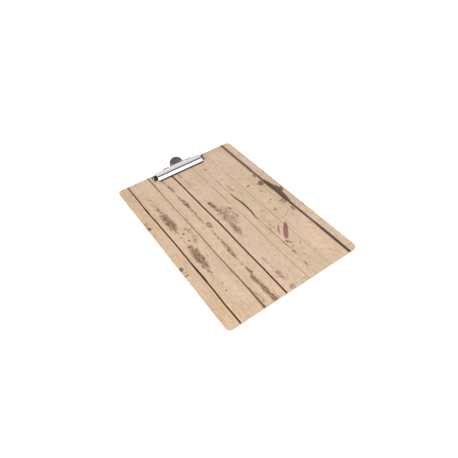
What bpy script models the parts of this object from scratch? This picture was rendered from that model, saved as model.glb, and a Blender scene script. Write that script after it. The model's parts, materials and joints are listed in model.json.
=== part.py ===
"""A4 clipboard with a sprung lever clip.

A flat laminated board carries a pressed steel clip near one short edge. The clip's base plate is riveted to the
board; its two upturned ears hold a hinge pin, and the jaw turns on that pin. Two torsion springs on the pin hold
the jaw's front lip down on the board. Pressing the rounded tab behind the pin lifts the lip.

Axes: X across the board (left is -X), +Y towards the clip and its back, +Z up out of the face. The origin is the
centre of the board's underside. Dimensions are in millimetres, angles in degrees; the helpers convert them.
"""

import math

import bmesh
import bpy
from mathutils import Matrix, Vector

MM = 0.001
SIDES = ((-1, "left"), (1, "right"))
X_AXIS = (1, 0, 0)
Z_AXIS = (0, 0, 1)

# Board: three bonded layers
BOARD_WIDTH = 225.0
BOARD_LENGTH = 320.0
CORNER_RADIUS = 8.0
SHEET_THICKNESS = 0.35
CORE_THICKNESS = 2.2
GLUE_LINE = 0.05
EDGE_ROUND = 0.12
EDGE_ROUND_MIN_ANGLE = 60.0
CORE_BOTTOM = SHEET_THICKNESS + GLUE_LINE
FACE_BOTTOM = CORE_BOTTOM + CORE_THICKNESS + GLUE_LINE
BOARD_TOP = 2 * SHEET_THICKNESS + CORE_THICKNESS + 2 * GLUE_LINE
CLIP_EDGE = BOARD_LENGTH / 2

# Hinge line and pin
PIVOT_Z = 7.1
PIVOT_Y = CLIP_EDGE - 9.3
HINGE = Vector((0, PIVOT_Y * MM, PIVOT_Z * MM))
PIN_RADIUS = 1.1
PIN_HALF_LENGTH = 51.9
PIN_HEAD_RADIUS = 1.75
PIN_HEAD_THICKNESS = 0.55
PIN_HEAD_FLAT_RADIUS = 1.1
PIN_HEAD_CHAMFER = 0.35

# Base plate: a strip across the board with an upturned ear at each end
STEEL = 0.9
BASE_GAP = 0.1
BASE_HALF_LENGTH = 51.1
BASE_FRONT = CLIP_EDGE - 15.3
BASE_BACK = CLIP_EDGE - 3.2
BASE_TOP = BOARD_TOP + BASE_GAP + STEEL
BEND_RADIUS = 1.45
EAR_HALF_WIDTH = 3.6
EAR_TOP = 10.7
EAR_SHOULDER_Z = BASE_TOP + 0.7
EAR_HOLE_RADIUS = PIN_RADIUS + 0.15
TRIM_MARGIN = 1.0  # by which the untrimmed strip and the trim outline overshoot the plate
BASE_CUT_LENGTH = 120.0  # X length of the trim and the ear bore, longer than the plate
RIVET_CUT_LENGTH = 4.0

# Jaw section, from the foot back to the rear curl; points are (Y, Z)
JAW_HALF_LENGTH = 44.0
FOOT_START = (CLIP_EDGE - 20.42, 3.58)
FOOT_ANGLE = 18.0
FOOT_RADIUS = 2.0
LIP_ANGLE = 58.6
LIP_LENGTH = 4.55
LIP_BEND_RADIUS = 3.6
PLATE_RISE_ANGLE = 7.0
PLATE_CROWN_RADIUS = 48.0
CURL_START = CLIP_EDGE - 5.6
CURL_RADIUS = 4.4
CURL_ANGLE = 85.0
PLATE_BACK = CURL_START + CURL_RADIUS

# Thumb tab, rising backwards from the top plate
TAB_STEEL = 0.8
TAB_RADIUS = 13.5
TAB_CENTRE = (CLIP_EDGE - 5.4, 9.6)
TAB_ANGLE = 45.0
TAB_BEND_START = CLIP_EDGE - 6.7
TAB_BEND_RADIUS = 5.0
TAB_ROOT_LENGTH = 1.8
TAB_BLANK_LENGTH = 14.0  # straight run beyond the bend, before rounding
TAB_BLANK_MARGIN = 3.0  # extra half width, before rounding
TAB_CUT_LENGTH = 30.0

# Slot in the top plate that clears the tab
TAB_RELIEF = 0.8
SLOT_FRONT_SETBACK = 0.3
SLOT_BACK_MARGIN = 3.0
SLOT_BELOW = 6.0
SLOT_ABOVE = 3.0

# Windows in the top plate
WINDOW_INNER = 16.3
WINDOW_OUTER = 27.0
WINDOW_Y = CLIP_EDGE - 5.0
WINDOW_DEPTH = 2.8
WINDOW_CORNER_RADIUS = 0.8
WINDOW_CUT_HEIGHT = 6.0

# Lugs under the top plate
LUG_X = 29.0
LUG_RADIUS = 2.6
LUG_HOLE_RADIUS = PIN_RADIUS + 0.2
LUG_ROOT_HALF = 3.5
LUG_ROOT_Z = 10.3
LUG_BORE_LENGTH = 80.0

# Torsion springs
WIRE_RADIUS = 0.45
COIL_RADIUS = 1.9
COIL_INNER_X = 16.9
COIL_OUTER_X = 26.5
COIL_TURNS = 8.5
COIL_STEPS_PER_TURN = 14
LEG_LENGTH = 4.4
LOWER_LEG_GAP = 0.3
UPPER_LEG_GAP = 0.15

# Rivets and washers
RIVET_X = 36.0
RIVET_Y = CLIP_EDGE - 9.0
RIVET_SHANK_RADIUS = 1.6
RIVET_HOLE_RADIUS = RIVET_SHANK_RADIUS + 0.2
RIVET_HEAD_RADIUS = 3.1
RIVET_HEAD_BASE = BASE_TOP + 0.1
RIVET_RIM_HEIGHT = 0.25
RIVET_DOME_HEIGHT = 0.95
TAIL_RADIUS = 2.7
COUNTERBORE_RADIUS = 4.0
COUNTERBORE_TOP = 1.5
WASHER_RADIUS = 3.6
WASHER_BOTTOM = 1.0
WASHER_TOP = 1.45
WASHER_CHAMFER = 0.1
TAIL_TOP = WASHER_BOTTOM - 0.1

# Meshing
ROUND_STEPS = 24
TAB_ROUND_STEPS = 56
CURVE_WELD = 0.001
TURNED_WELD = 0.005


def clear_scene():
    for item in list(bpy.data.objects):
        bpy.data.objects.remove(item, do_unlink=True)


def new_collection(name):
    collection = bpy.data.collections.new(name)
    bpy.context.scene.collection.children.link(collection)
    return collection


def material(name, colour, roughness, metallic=0.0):
    made = bpy.data.materials.new(name)
    made.use_nodes = True
    inputs = made.node_tree.nodes["Principled BSDF"].inputs
    inputs["Base Color"].default_value = (*colour, 1.0)
    inputs["Roughness"].default_value = roughness
    inputs["Metallic"].default_value = metallic
    return made


def metal(name, colour, roughness):
    return material(name, colour, roughness, metallic=1.0)


clear_scene()
parts = new_collection("clipboard")
cutters = new_collection("cutters")

MATERIALS = {
    "core": material("fibreboard", colour=(0.50, 0.39, 0.27), roughness=0.85),
    "face": material("printed_plank_sheet", colour=(0.63, 0.46, 0.32), roughness=0.55),
    "back": material("plain_back_sheet", colour=(0.55, 0.45, 0.34), roughness=0.65),
    "plate": metal("nickel_plated_base", colour=(0.62, 0.61, 0.60), roughness=0.25),
    "jaw": metal("nickel_plated_jaw", colour=(0.66, 0.65, 0.63), roughness=0.15),
    "pin": metal("hinge_steel", colour=(0.35, 0.34, 0.33), roughness=0.35),
    "spring": metal("spring_steel", colour=(0.30, 0.30, 0.31), roughness=0.30),
    "rivet": metal("rivet_steel", colour=(0.60, 0.59, 0.57), roughness=0.30),
    "washer": metal("washer_steel", colour=(0.55, 0.54, 0.52), roughness=0.40),
}


# ---------------------------------------------------------------- outlines


def arc(centre_x, centre_y, radius, start, end, steps):
    """Points on an arc, both ends included."""
    points = []
    for i in range(steps + 1):
        angle = math.radians(start + (end - start) * i / steps)
        points.append((centre_x + radius * math.cos(angle), centre_y + radius * math.sin(angle)))
    return points


def circle(x, y, radius):
    return arc(x, y, radius, 0, 360 - 360 / ROUND_STEPS, ROUND_STEPS - 1)


def rounded_rectangle(half_x, half_y, radius, steps):
    points = []
    for sign_x, sign_y, start in ((1, 1, 0), (-1, 1, 90), (-1, -1, 180), (1, -1, 270)):
        corner_x = sign_x * (half_x - radius)
        corner_y = sign_y * (half_y - radius)
        points += arc(corner_x, corner_y, radius, start, start + 90, steps)
    return points


class Path:
    """Straight runs and arcs in one plane, kept as points with a heading."""

    def __init__(self, start, heading):
        self.points = [start]
        self.heading = heading

    def line(self, length):
        angle = math.radians(self.heading)
        x, y = self.points[-1]
        self.points.append((x + length * math.cos(angle), y + length * math.sin(angle)))
        return self

    def turn(self, radius, angle, steps):
        """Positive angles turn left."""
        side = 1 if angle > 0 else -1
        start = math.radians(self.heading)
        x, y = self.points[-1]
        centre_x = x - side * radius * math.sin(start)
        centre_y = y + side * radius * math.cos(start)
        for i in range(1, steps + 1):
            heading = start + math.radians(angle) * i / steps
            self.points.append((
                centre_x + side * radius * math.sin(heading),
                centre_y - side * radius * math.cos(heading),
            ))
        self.heading += angle
        return self


# ---------------------------------------------------------------- meshes and objects


def finish_mesh(name, bm):
    mesh = bpy.data.meshes.new(name)
    bm.to_mesh(mesh)
    bm.free()
    return mesh


def part_from_mesh(name, mesh, material_key):
    part = bpy.data.objects.new(name, mesh)
    parts.objects.link(part)
    mesh.materials.clear()
    mesh.materials.append(MATERIALS[material_key])
    return part


def cutter_from_mesh(name, mesh):
    """A hidden helper, used as the second body of a boolean."""
    cutter = bpy.data.objects.new(name, mesh)
    cutters.objects.link(cutter)
    cutter.hide_render = True
    cutter.display_type = "WIRE"
    return cutter


def boolean(target, cutter, operation):
    modifier = target.modifiers.new(operation.lower() + "_" + cutter.name, "BOOLEAN")
    modifier.object = cutter
    modifier.operation = operation
    modifier.solver = "EXACT"


def cylinder(name, radius, length, centre, axis, steps=ROUND_STEPS):
    """A closed cylinder as a cutter, its centre and axis given in the clipboard's axes."""
    bm = bmesh.new()
    bmesh.ops.create_cone(
        bm,
        cap_ends=True,
        cap_tris=False,
        segments=steps,
        radius1=radius * MM,
        radius2=radius * MM,
        depth=length * MM,
    )
    turn = Vector(Z_AXIS).rotation_difference(Vector(axis)).to_matrix().to_4x4()
    place = Matrix.Translation(Vector(centre) * MM) @ turn
    bmesh.ops.transform(bm, matrix=place, verts=bm.verts)
    return cutter_from_mesh(name, finish_mesh(name, bm))


def block(name, low, high):
    """A box as a cutter, given by its two extreme corners."""
    bm = bmesh.new()
    bmesh.ops.create_cube(bm, size=1.0)
    size = Vector([(top - bottom) * MM for bottom, top in zip(low, high)])
    middle = Vector([(top + bottom) / 2 * MM for bottom, top in zip(low, high)])
    place = Matrix.Translation(middle) @ Matrix.Diagonal((*size, 1.0))
    bmesh.ops.transform(bm, matrix=place, verts=bm.verts)
    return cutter_from_mesh(name, finish_mesh(name, bm))


def poly_spline(curve, points):
    """Adds a straight-sided spline through points in metres."""
    spline = curve.splines.new("POLY")
    spline.points.add(len(points) - 1)
    for spline_point, position in zip(spline.points, points):
        spline_point.co = (*position, 1.0)
    return spline


def flat_solid(name, outlines, thickness, matrix):
    """A mesh of a filled outline, any further outlines being holes, thickened about its own plane."""
    curve = bpy.data.curves.new(name, "CURVE")
    curve.dimensions = "2D"
    curve.fill_mode = "BOTH"
    curve.extrude = thickness / 2 * MM
    for outline in outlines:
        spline = poly_spline(curve, [(x * MM, y * MM, 0.0) for x, y in outline])
        spline.use_cyclic_u = True

    guide = bpy.data.objects.new(name + "_guide", curve)
    bpy.context.scene.collection.objects.link(guide)
    bpy.context.view_layer.update()
    depsgraph = bpy.context.evaluated_depsgraph_get()
    mesh = bpy.data.meshes.new_from_object(guide.evaluated_get(depsgraph))
    bpy.data.objects.remove(guide, do_unlink=True)

    # The curve's caps come apart from its sides, so they are welded here.
    bm = bmesh.new()
    bm.from_mesh(mesh)
    bmesh.ops.remove_doubles(bm, verts=bm.verts, dist=CURVE_WELD * MM)
    bmesh.ops.transform(bm, matrix=matrix, verts=bm.verts)
    bmesh.ops.recalc_face_normals(bm, faces=bm.faces)
    bm.to_mesh(mesh)
    bm.free()
    return mesh


def level_solid(name, outlines, thickness, z_mid):
    """A flat solid from (X, Y) outlines, its thickness along Z."""
    return flat_solid(name, outlines, thickness, Matrix.Translation((0, 0, z_mid * MM)))


# Takes an outline drawn in (Y, Z) to the clipboard's axes, so that its thickness runs along X.
SIDE_VIEW = Matrix(((0, 0, 1, 0), (1, 0, 0, 0), (0, 1, 0, 0), (0, 0, 0, 1)))


def side_prism(name, outline, x_mid, thickness):
    """A cutter from a (Y, Z) outline, its thickness along X."""
    place = Matrix.Translation((x_mid * MM, 0, 0)) @ SIDE_VIEW
    return cutter_from_mesh(name, flat_solid(name, [outline], thickness, place))


def turned(name, profile, material_key):
    """A solid turned about Z from (radius, height) points running from the top down its outer side."""
    bm = bmesh.new()
    verts = [bm.verts.new((radius * MM, 0, z * MM)) for radius, z in profile]
    for upper, lower in zip(verts, verts[1:]):
        bm.edges.new((upper, lower))
    part = part_from_mesh(name, finish_mesh(name, bm), material_key)
    screw = part.modifiers.new("turn", "SCREW")
    screw.axis = "Z"
    screw.steps = ROUND_STEPS
    screw.render_steps = ROUND_STEPS
    screw.use_merge_vertices = True
    screw.merge_threshold = TURNED_WELD * MM
    screw.use_smooth_shade = True
    return part


def bent_sheet(points, width_axis, low, high):
    """An open strip following (run, Z) points, from low to high along its width axis, "X" or "Y"."""
    bm = bmesh.new()
    rows = []
    for run, z in points:
        if width_axis == "X":
            ends = [(low, run, z), (high, run, z)]
        else:
            ends = [(run, low, z), (run, high, z)]
        rows.append([bm.verts.new(Vector(end) * MM) for end in ends])
    for row, following in zip(rows, rows[1:]):
        bm.faces.new((row[0], row[1], following[1], following[0]))
    return finish_mesh("sheet", bm)


def solidify(sheet, thickness):
    """Thickens a sheet equally to both sides."""
    modifier = sheet.modifiers.new("sheet_thickness", "SOLIDIFY")
    modifier.thickness = thickness * MM
    modifier.offset = 0.0
    modifier.use_even_offset = True


# ---------------------------------------------------------------- board


def board_layer(name, bottom, thickness, hole_radius, material_key):
    outline = rounded_rectangle(BOARD_WIDTH / 2, BOARD_LENGTH / 2, CORNER_RADIUS, steps=8)
    holes = [circle(side * RIVET_X, RIVET_Y, hole_radius) for side, _ in SIDES]
    mesh = level_solid(name, [outline] + holes, thickness, bottom + thickness / 2)
    return part_from_mesh(name, mesh, material_key)


def board_sheet(name, bottom, hole_radius, material_key):
    """An outer layer, with its edges slightly rounded."""
    sheet = board_layer(name, bottom, SHEET_THICKNESS, hole_radius, material_key)
    bevel = sheet.modifiers.new("edge_round", "BEVEL")
    bevel.width = EDGE_ROUND * MM
    bevel.segments = 1
    bevel.limit_method = "ANGLE"
    bevel.angle_limit = math.radians(EDGE_ROUND_MIN_ANGLE)


def board_core():
    """The middle layer, counterbored from below for the washers."""
    core = board_layer("board_core", CORE_BOTTOM, CORE_THICKNESS, RIVET_HOLE_RADIUS, "core")
    for side, tag in SIDES:
        centre = (side * RIVET_X, RIVET_Y, 0)
        recess = cylinder(
            "counterbore_" + tag, COUNTERBORE_RADIUS, 2 * COUNTERBORE_TOP, centre, Z_AXIS
        )
        boolean(core, recess, "DIFFERENCE")


# ---------------------------------------------------------------- base plate with its two ears


def base_plate():
    strip_z = BOARD_TOP + BASE_GAP + STEEL / 2
    ear_x = BASE_HALF_LENGTH - STEEL / 2
    ear_rise = EAR_TOP + TRIM_MARGIN - strip_z - BEND_RADIUS
    line = (
        Path((-ear_x, EAR_TOP + TRIM_MARGIN), -90.0)
        .line(ear_rise)
        .turn(BEND_RADIUS, 90, steps=5)
        .line(2 * (ear_x - BEND_RADIUS))
        .turn(BEND_RADIUS, 90, steps=5)
        .line(ear_rise)
    )
    mesh = bent_sheet(line.points, "Y", BASE_FRONT - TRIM_MARGIN, BASE_BACK + TRIM_MARGIN)
    base = part_from_mesh("clip_base_plate", mesh, "plate")
    solidify(base, STEEL)

    # Seen from the side, the ears narrow above low shoulders and end in a half circle.
    trim_bottom = BOARD_TOP - TRIM_MARGIN
    outline = [
        (BASE_FRONT, trim_bottom),
        (BASE_BACK, trim_bottom),
        (BASE_BACK, EAR_SHOULDER_Z),
        (PIVOT_Y + EAR_HALF_WIDTH, EAR_SHOULDER_Z),
        *arc(PIVOT_Y, EAR_TOP - EAR_HALF_WIDTH, EAR_HALF_WIDTH, 0, 180, steps=14),
        (PIVOT_Y - EAR_HALF_WIDTH, EAR_SHOULDER_Z),
        (BASE_FRONT, EAR_SHOULDER_Z),
    ]
    boolean(base, side_prism("base_plate_trim", outline, 0.0, BASE_CUT_LENGTH), "INTERSECT")
    pivot = (0, PIVOT_Y, PIVOT_Z)
    bore = cylinder("ear_bore", EAR_HOLE_RADIUS, BASE_CUT_LENGTH, pivot, X_AXIS)
    boolean(base, bore, "DIFFERENCE")
    for side, tag in SIDES:
        centre = (side * RIVET_X, RIVET_Y, BASE_TOP)
        hole = cylinder("rivet_hole_" + tag, RIVET_HOLE_RADIUS, RIVET_CUT_LENGTH, centre, Z_AXIS)
        boolean(base, hole, "DIFFERENCE")


# ---------------------------------------------------------------- jaw


def tab_slot(plate_z):
    """Opens the top plate from just behind the tab's bend line, with a gap at each side of the tab."""
    half_width = TAB_RADIUS + TAB_RELIEF
    return block(
        "tab_relief",
        (-half_width, TAB_BEND_START + SLOT_FRONT_SETBACK, plate_z - SLOT_BELOW),
        (half_width, PLATE_BACK + SLOT_BACK_MARGIN, plate_z + SLOT_ABOVE),
    )


def plate_window(side, tag, plate_z):
    middle = side * (WINDOW_INNER + WINDOW_OUTER) / 2
    half = (WINDOW_OUTER - WINDOW_INNER) / 2
    corners = rounded_rectangle(half, WINDOW_DEPTH / 2, WINDOW_CORNER_RADIUS, steps=4)
    outline = [(middle + x, WINDOW_Y + y) for x, y in corners]
    name = "window_" + tag
    return cutter_from_mesh(name, level_solid(name, [outline], WINDOW_CUT_HEIGHT, plate_z))


def thumb_tab(plate_z):
    line = (
        Path((TAB_BEND_START - TAB_ROOT_LENGTH, plate_z), 0.0)
        .line(TAB_ROOT_LENGTH)
        .turn(TAB_BEND_RADIUS, TAB_ANGLE, steps=6)
        .line(TAB_BLANK_LENGTH)
    )
    half_width = TAB_RADIUS + TAB_BLANK_MARGIN
    tab = cutter_from_mesh("thumb_tab", bent_sheet(line.points, "X", -half_width, half_width))
    solidify(tab, TAB_STEEL)
    tilt = math.radians(TAB_ANGLE)
    rounding = cylinder(
        "tab_round",
        TAB_RADIUS,
        TAB_CUT_LENGTH,
        (0, *TAB_CENTRE),
        (0, -math.sin(tilt), math.cos(tilt)),
        steps=TAB_ROUND_STEPS,
    )
    boolean(tab, rounding, "INTERSECT")
    return tab


def lug(side, tag):
    outline = [
        (PIVOT_Y + LUG_ROOT_HALF, LUG_ROOT_Z),
        (PIVOT_Y - LUG_ROOT_HALF, LUG_ROOT_Z),
        *arc(PIVOT_Y, PIVOT_Z, LUG_RADIUS, 180, 360, steps=12),
    ]
    return side_prism("lug_" + tag, outline, side * (LUG_X + STEEL / 2), STEEL)


def jaw_section():
    """The jaw's (Y, Z) centre line, and the height of its level top plate."""
    line = (
        Path(FOOT_START, FOOT_ANGLE)
        .turn(FOOT_RADIUS, LIP_ANGLE - FOOT_ANGLE, steps=5)
        .line(LIP_LENGTH)
        .turn(LIP_BEND_RADIUS, PLATE_RISE_ANGLE - LIP_ANGLE, steps=8)
        .turn(PLATE_CROWN_RADIUS, -PLATE_RISE_ANGLE, steps=4)
    )
    plate_y, plate_z = line.points[-1]
    line.line(CURL_START - plate_y).turn(CURL_RADIUS, -CURL_ANGLE, steps=10)
    return line.points, plate_z


def clip_jaw(section, plate_z):
    mesh = bent_sheet(section, "X", -JAW_HALF_LENGTH, JAW_HALF_LENGTH)
    jaw = part_from_mesh("clip_jaw", mesh, "jaw")
    solidify(jaw, STEEL)
    boolean(jaw, tab_slot(plate_z), "DIFFERENCE")
    for side, tag in SIDES:
        boolean(jaw, plate_window(side, tag, plate_z), "DIFFERENCE")
    boolean(jaw, thumb_tab(plate_z), "UNION")
    for side, tag in SIDES:
        boolean(jaw, lug(side, tag), "UNION")
    pivot = (0, PIVOT_Y, PIVOT_Z)
    bore = cylinder("lug_bore", LUG_HOLE_RADIUS, LUG_BORE_LENGTH, pivot, X_AXIS)
    boolean(jaw, bore, "DIFFERENCE")

    # The jaw's origin lies on the hinge line.
    mesh.transform(Matrix.Translation(-HINGE))
    jaw.location = HINGE


# ---------------------------------------------------------------- hinge pin and springs


def hinge_pin():
    head_inner = PIN_HALF_LENGTH - PIN_HEAD_THICKNESS
    half_profile = [
        (0, PIN_HALF_LENGTH),
        (PIN_HEAD_FLAT_RADIUS, PIN_HALF_LENGTH),
        (PIN_HEAD_RADIUS, PIN_HALF_LENGTH - PIN_HEAD_CHAMFER),
        (PIN_HEAD_RADIUS, head_inner),
        (PIN_RADIUS, head_inner),
    ]
    mirrored = [(radius, -z) for radius, z in reversed(half_profile)]
    pin = turned("hinge_pin", half_profile + mirrored, "pin")
    pin.location = HINGE
    pin.rotation_euler = (0, math.radians(90), 0)


def spring_points(side, plate_z):
    """Lower leg above the base plate, coil around the pin, upper leg under the jaw's top plate."""
    leg_y = PIVOT_Y + LEG_LENGTH
    points = [(COIL_OUTER_X, leg_y, BASE_TOP + WIRE_RADIUS + LOWER_LEG_GAP)]
    count = int(COIL_TURNS * COIL_STEPS_PER_TURN)
    for i in range(count + 1):
        fraction = i / count
        angle = math.radians(-90) - 2 * math.pi * COIL_TURNS * fraction
        points.append((
            COIL_OUTER_X + (COIL_INNER_X - COIL_OUTER_X) * fraction,
            PIVOT_Y + COIL_RADIUS * math.cos(angle),
            PIVOT_Z + COIL_RADIUS * math.sin(angle),
        ))
    points.append((COIL_INNER_X, leg_y, plate_z - STEEL / 2 - WIRE_RADIUS - UPPER_LEG_GAP))
    return [Vector((side * x, y, z)) * MM - HINGE for x, y, z in points]


def torsion_spring(side, tag, plate_z):
    curve = bpy.data.curves.new("spring_" + tag, "CURVE")
    curve.dimensions = "3D"
    curve.bevel_depth = WIRE_RADIUS * MM
    curve.bevel_resolution = 2
    curve.use_fill_caps = True
    poly_spline(curve, spring_points(side, plate_z))
    curve.materials.append(MATERIALS["spring"])
    spring = bpy.data.objects.new("spring_" + tag, curve)
    parts.objects.link(spring)
    spring.location = HINGE


# ---------------------------------------------------------------- rivets and washers

RIVET_DOME = [
    (
        RIVET_HEAD_RADIUS * math.sin(math.radians(angle)),
        RIVET_HEAD_BASE + RIVET_RIM_HEIGHT + RIVET_DOME_HEIGHT * math.cos(math.radians(angle)),
    )
    for angle in (0, 18, 36, 54, 72, 90)
]

# (radius, height): domed head, shank, then the spread tail and the hollow rising inside it
RIVET_PROFILE = RIVET_DOME + [
    (RIVET_HEAD_RADIUS, RIVET_HEAD_BASE),
    (RIVET_SHANK_RADIUS, RIVET_HEAD_BASE),
    (RIVET_SHANK_RADIUS, TAIL_TOP),
    (TAIL_RADIUS - 0.15, TAIL_TOP),
    (TAIL_RADIUS, WASHER_BOTTOM - 0.3),
    (TAIL_RADIUS - 0.25, 0.3),
    (TAIL_RADIUS - 0.8, 0.12),
    (1.35, 0.15),
    (1.05, 0.4),
    (0.95, 1.9),
    (0, 2.1),
]

# (radius, height): a closed ring section, so the first point comes again at the end
WASHER_PROFILE = [
    (RIVET_HOLE_RADIUS, WASHER_TOP),
    (WASHER_RADIUS - WASHER_CHAMFER, WASHER_TOP),
    (WASHER_RADIUS, WASHER_TOP - WASHER_CHAMFER),
    (WASHER_RADIUS, WASHER_BOTTOM + WASHER_CHAMFER),
    (WASHER_RADIUS - WASHER_CHAMFER, WASHER_BOTTOM),
    (RIVET_HOLE_RADIUS, WASHER_BOTTOM),
    (RIVET_HOLE_RADIUS, WASHER_TOP),
]


def fastener(kind, profile, side, tag):
    """A turned part on a rivet's axis; its kind is also its material's key."""
    part = turned(kind + "_" + tag, profile, kind)
    part.location = (side * RIVET_X * MM, RIVET_Y * MM, 0)


# ---------------------------------------------------------------- assembly

board_sheet("backing_sheet", 0.0, COUNTERBORE_RADIUS, "back")
board_core()
board_sheet("face_sheet", FACE_BOTTOM, RIVET_HOLE_RADIUS, "face")
base_plate()
jaw_points, jaw_plate_z = jaw_section()
clip_jaw(jaw_points, jaw_plate_z)
hinge_pin()
for side, tag in SIDES:
    torsion_spring(side, tag, jaw_plate_z)
    fastener("rivet", RIVET_PROFILE, side, tag)
    fastener("washer", WASHER_PROFILE, side, tag)
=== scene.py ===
import json
import math

import bmesh
import bpy
from mathutils import Matrix, Vector


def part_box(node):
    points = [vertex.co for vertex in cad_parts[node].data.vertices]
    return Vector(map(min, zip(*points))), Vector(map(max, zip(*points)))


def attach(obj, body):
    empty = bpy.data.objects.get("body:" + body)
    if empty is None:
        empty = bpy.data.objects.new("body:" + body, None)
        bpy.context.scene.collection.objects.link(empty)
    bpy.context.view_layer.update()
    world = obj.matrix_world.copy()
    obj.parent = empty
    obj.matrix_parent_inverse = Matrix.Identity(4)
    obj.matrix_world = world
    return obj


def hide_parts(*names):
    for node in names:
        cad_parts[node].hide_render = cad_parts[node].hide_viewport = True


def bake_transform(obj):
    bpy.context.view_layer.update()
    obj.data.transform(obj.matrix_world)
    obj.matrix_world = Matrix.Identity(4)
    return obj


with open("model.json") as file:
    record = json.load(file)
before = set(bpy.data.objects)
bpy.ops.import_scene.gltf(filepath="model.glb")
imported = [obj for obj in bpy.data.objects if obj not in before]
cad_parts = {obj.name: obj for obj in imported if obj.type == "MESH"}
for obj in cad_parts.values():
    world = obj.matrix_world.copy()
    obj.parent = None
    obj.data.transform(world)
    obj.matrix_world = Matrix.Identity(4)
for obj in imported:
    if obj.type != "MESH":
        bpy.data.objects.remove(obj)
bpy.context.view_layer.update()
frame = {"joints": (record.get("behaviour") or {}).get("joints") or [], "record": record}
record = frame["record"]

# ------------------------------------------------------------------ places, all read from the frame
MM = 0.001
face_lo, face_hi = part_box("face_sheet")
core_lo, core_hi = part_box("board_core")
back_lo, back_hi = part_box("backing_sheet")
base_lo, base_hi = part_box("clip_base_plate")
jaw_lo, jaw_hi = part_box("clip_jaw")
pin_lo, pin_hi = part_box("hinge_pin")
joint = next(j for j in frame["joints"] if j["name"] == "jaw_hinge")
HINGE = Vector(joint["pos_m"])
EDGE = face_hi.y
HALF_W = face_hi.x
TOP = face_hi.z


# ------------------------------------------------------------------ node trees with ordinary arithmetic
def srgb(r, g, b):
    def lin(c):
        c /= 255.0
        return c / 12.92 if c <= 0.04045 else ((c + 0.055) / 1.055) ** 2.4

    return (lin(r), lin(g), lin(b), 1.0)


class S:
    """One output of a node tree, with the usual operators."""

    def __init__(self, tree, socket):
        self.t, self.s = tree, socket

    def _op(self, op, *others, clamp=False):
        return self.t.math(op, self, *others, clamp=clamp)

    def __add__(self, o):
        return self._op("ADD", o)

    __radd__ = __add__

    def __sub__(self, o):
        return self._op("SUBTRACT", o)

    def __rsub__(self, o):
        return self.t.math("SUBTRACT", o, self)

    def __mul__(self, o):
        return self._op("MULTIPLY", o)

    __rmul__ = __mul__

    def __truediv__(self, o):
        return self._op("DIVIDE", o)

    def abs(self):
        return self._op("ABSOLUTE")

    def max(self, o):
        return self._op("MAXIMUM", o)

    def min(self, o):
        return self._op("MINIMUM", o)

    def pow(self, o):
        return self._op("POWER", o)

    def sin(self):
        return self._op("SINE")

    def clamp(self):
        return self._op("ADD", 0.0, clamp=True)


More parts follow.
